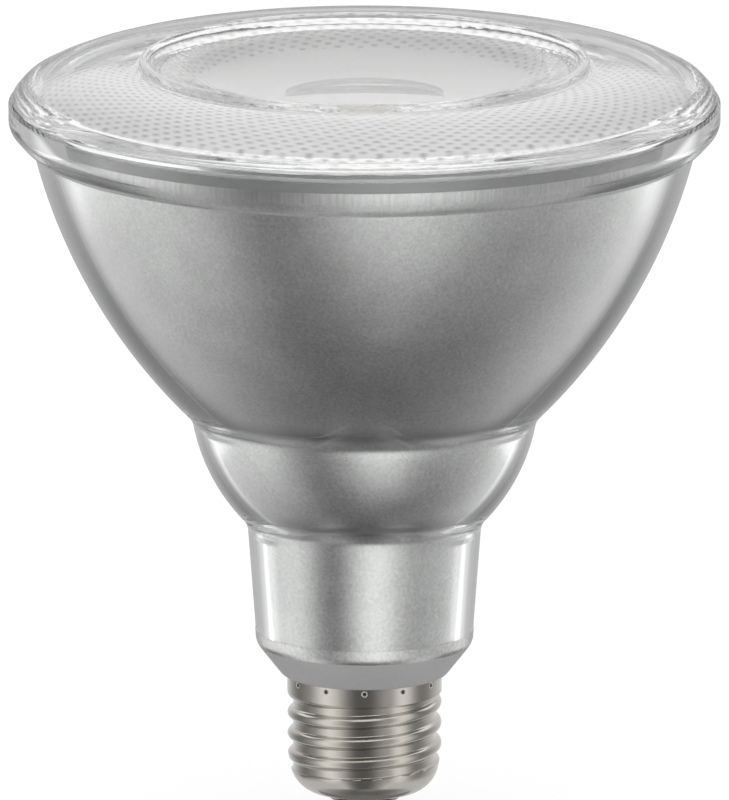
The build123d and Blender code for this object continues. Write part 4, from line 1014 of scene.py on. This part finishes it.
def bands(tree, turn, stops):
    """Brightness that follows stops of azimuth in degrees and brightness up to 2."""
    ramp = link(tree, "ShaderNodeValToRGB", {0: calc(tree, "DIVIDE", calc(tree, "ADD", turn, 180.0), 360.0)})
    ramp.color_ramp.interpolation = "CARDINAL"
    ramp.color_ramp.elements.remove(ramp.color_ramp.elements[1])
    for i, (degrees, bright) in enumerate(stops):
        place = degrees / 360 + 0.5
        stop = ramp.color_ramp.elements[0] if i == 0 else ramp.color_ramp.elements.new(place)
        stop.position = place
        stop.color = (bright / 2, bright / 2, bright / 2, 1)
    return calc(tree, "MULTIPLY", ramp.outputs[0], 2.0)


def azimuth(tree, x, y):
    """Angle in degrees round the lamp from the camera's side."""
    return calc(tree, "DEGREES", calc(tree, "ARCTAN2", x, calc(tree, "MULTIPLY", y, -1.0)))


world = bpy.data.worlds.new("white_surround")
world.use_nodes = True
world.cycles.sampling_method = "NONE"
bpy.context.scene.world = world
tree = world.node_tree
path = link(tree, "ShaderNodeLightPath").outputs
aim = link(tree, "ShaderNodeTexCoord").outputs["Generated"]
x, y, z = link(tree, "ShaderNodeSeparateXYZ", {0: aim}).outputs
turn, lean = azimuth(tree, x, y), calc(tree, "DEGREES", calc(tree, "ARCSINE", z))
lit = bands(tree, turn, AROUND)
off_side = calc(tree, "ABSOLUTE", calc(tree, "SUBTRACT", calc(tree, "ABSOLUTE", turn), SIDE_TURN))
for card in (SIDE_PANEL, SIDE_FLAG):
    off_level = calc(tree, "ABSOLUTE", calc(tree, "SUBTRACT", lean, card["lean"]))
    cover = calc(tree, "MULTIPLY", soft_step(tree, off_side, *card["width"]),
                 soft_step(tree, off_level, *card["height"]))
    lit = between(tree, cover, lit, card["bright"])
low = between(tree, soft_step(tree, lean, *UNDERNEATH_LEAN), UNDERNEATH, lit)
behind = between(tree, soft_step(tree, lean, *BEHIND_LEAN), *BEHIND)
low = between(tree, soft_step(tree, calc(tree, "ABSOLUTE", turn), *BEHIND_TURN), low, behind)
overhead = soft_step(tree, lean, *OVERHEAD_LEAN)
sky = between(tree, overhead, bands(tree, turn, SKY), OVERHEAD)
surround = between(tree, soft_step(tree, lean, *SKY_LEAN), low, sky)
soft = between(tree, overhead, *SCATTERED)
scattered = calc(tree, "MINIMUM", path["Diffuse Depth"], 1.0)
mirrored = calc(tree, "MAXIMUM", path["Is Glossy Ray"], path["Is Transmission Ray"])
mirrored = calc(tree, "MULTIPLY", mirrored, calc(tree, "SUBTRACT", 1.0, scattered))
shown = between(tree, mirrored, between(tree, scattered, 1.0, soft), surround)
tree.links.new(shown, tree.nodes["Background"].inputs["Strength"])
tree.nodes["Background"].inputs["Color"].default_value = (1, 1, 1, 1)

floor_mesh = bpy.data.meshes.new("pale_floor")
floor_corners = [
    (x * FLOOR_HALF, y * FLOOR_HALF, -FLOOR_DROP * MM) for x, y in ((-1, -1), (1, -1), (1, 1), (-1, 1))
]
floor_mesh.from_pydata(floor_corners, [], [(0, 1, 2, 3)])
floor = bpy.data.objects.new("pale_floor", floor_mesh)
bpy.context.scene.collection.objects.link(floor)
paper = bpy.data.materials.new("floor_paper")
paper.use_nodes = True
tree = paper.node_tree
path = link(tree, "ShaderNodeLightPath").outputs
shader = tree.nodes["Principled BSDF"]
shader.inputs["Base Color"].default_value = FLOOR_WHITE
shader.inputs["Roughness"].default_value = 0.9
shader.inputs["Specular IOR Level"].default_value = 0.1
glow = link(tree, "ShaderNodeEmission", {"Strength": 1.0})
share = calc(tree, "MULTIPLY_ADD", path["Is Camera Ray"], CAMERA_GLOW, FLOOR_GLOW)
mixed = link(tree, "ShaderNodeMixShader", {0: share, 1: shader.outputs[0], 2: glow.outputs[0]})
tree.links.new(mixed.outputs[0], tree.nodes["Material Output"].inputs["Surface"])
floor_mesh.materials.append(paper)
floor.visible_glossy = floor.visible_transmission = False

COLLAR_CARD = (
    (-180, 0.8), (-144, 0.8), (-125, 0.7), (-110, 0.5), (-97, 0.3), (-87, 0.22), (-76, 0.28), (-65, 0.4),
    (-55, 0.7), (-46, 0.95), (-36, 0.85), (-28, 0.6), (-21, 0.36), (-13, 0.17), (0, 0.12), (10, 0.18),
    (20, 0.36), (31, 0.5), (40, 0.85), (47, 0.85), (55, 0.6), (64, 0.3), (78, 0.26), (89, 0.4),
    (103, 0.58), (117, 0.7), (144, 0.8), (180, 0.8),
)
CARD_RADIUS = 24.0
CARD_PAPER = 0.05
CARD_FOOT_Z = -20.0
CARD_TOP_Z = 26.0
LOW_CARD = 0.65
LOW_CARD_Z = (2.0, -6.0)
LOW_CARD_TURN = (20.0, 34.0)
collar = turned("collar_card", (
    (CARD_RADIUS, CARD_FOOT_Z), (CARD_RADIUS, CARD_TOP_Z),
    (CARD_RADIUS + CARD_PAPER, CARD_TOP_Z), (CARD_RADIUS + CARD_PAPER, CARD_FOOT_Z),
), 96)
paper = bpy.data.materials.new("collar_card")
paper.use_nodes = True
tree = paper.node_tree
x, y, z = here(tree)
turn = azimuth(tree, x, y)
below = calc(tree, "MULTIPLY", soft_step(tree, z, *[edge * MM for edge in LOW_CARD_Z]),
             soft_step(tree, calc(tree, "ABSOLUTE", turn), *LOW_CARD_TURN))
level = between(tree, below, bands(tree, turn, COLLAR_CARD), LOW_CARD)
glow = link(tree, "ShaderNodeEmission", {"Strength": level})
tree.links.new(glow.outputs[0], tree.nodes["Material Output"].inputs["Surface"])
collar.data.materials.append(paper)
collar.visible_camera = collar.visible_diffuse = collar.visible_shadow = False

cycles = bpy.context.scene.cycles
cycles.max_bounces = cycles.transmission_bounces = 64
cycles.glossy_bounces, cycles.diffuse_bounces = 48, 16

camera_data = bpy.data.cameras.new("long_lens")
camera_data.lens = LONG_LENS
camera_data.sensor_width = SENSOR
camera_data.clip_end = 100
camera = bpy.data.objects.new("long_lens", camera_data)
bpy.context.scene.collection.objects.link(camera)
away = IMAGE_HEIGHT / PIXELS_PER_MM * MM * LONG_LENS / SENSOR
back = Vector((0, -math.cos(VIEW_TILT), math.sin(VIEW_TILT)))
camera.location = Vector((0, 0, AIM_Z * MM)) + back * away
camera.rotation_euler = (-back).to_track_quat("-Z", "Y").to_euler()
bpy.context.scene.camera = camera
bpy.context.scene.view_settings.view_transform = "Standard"
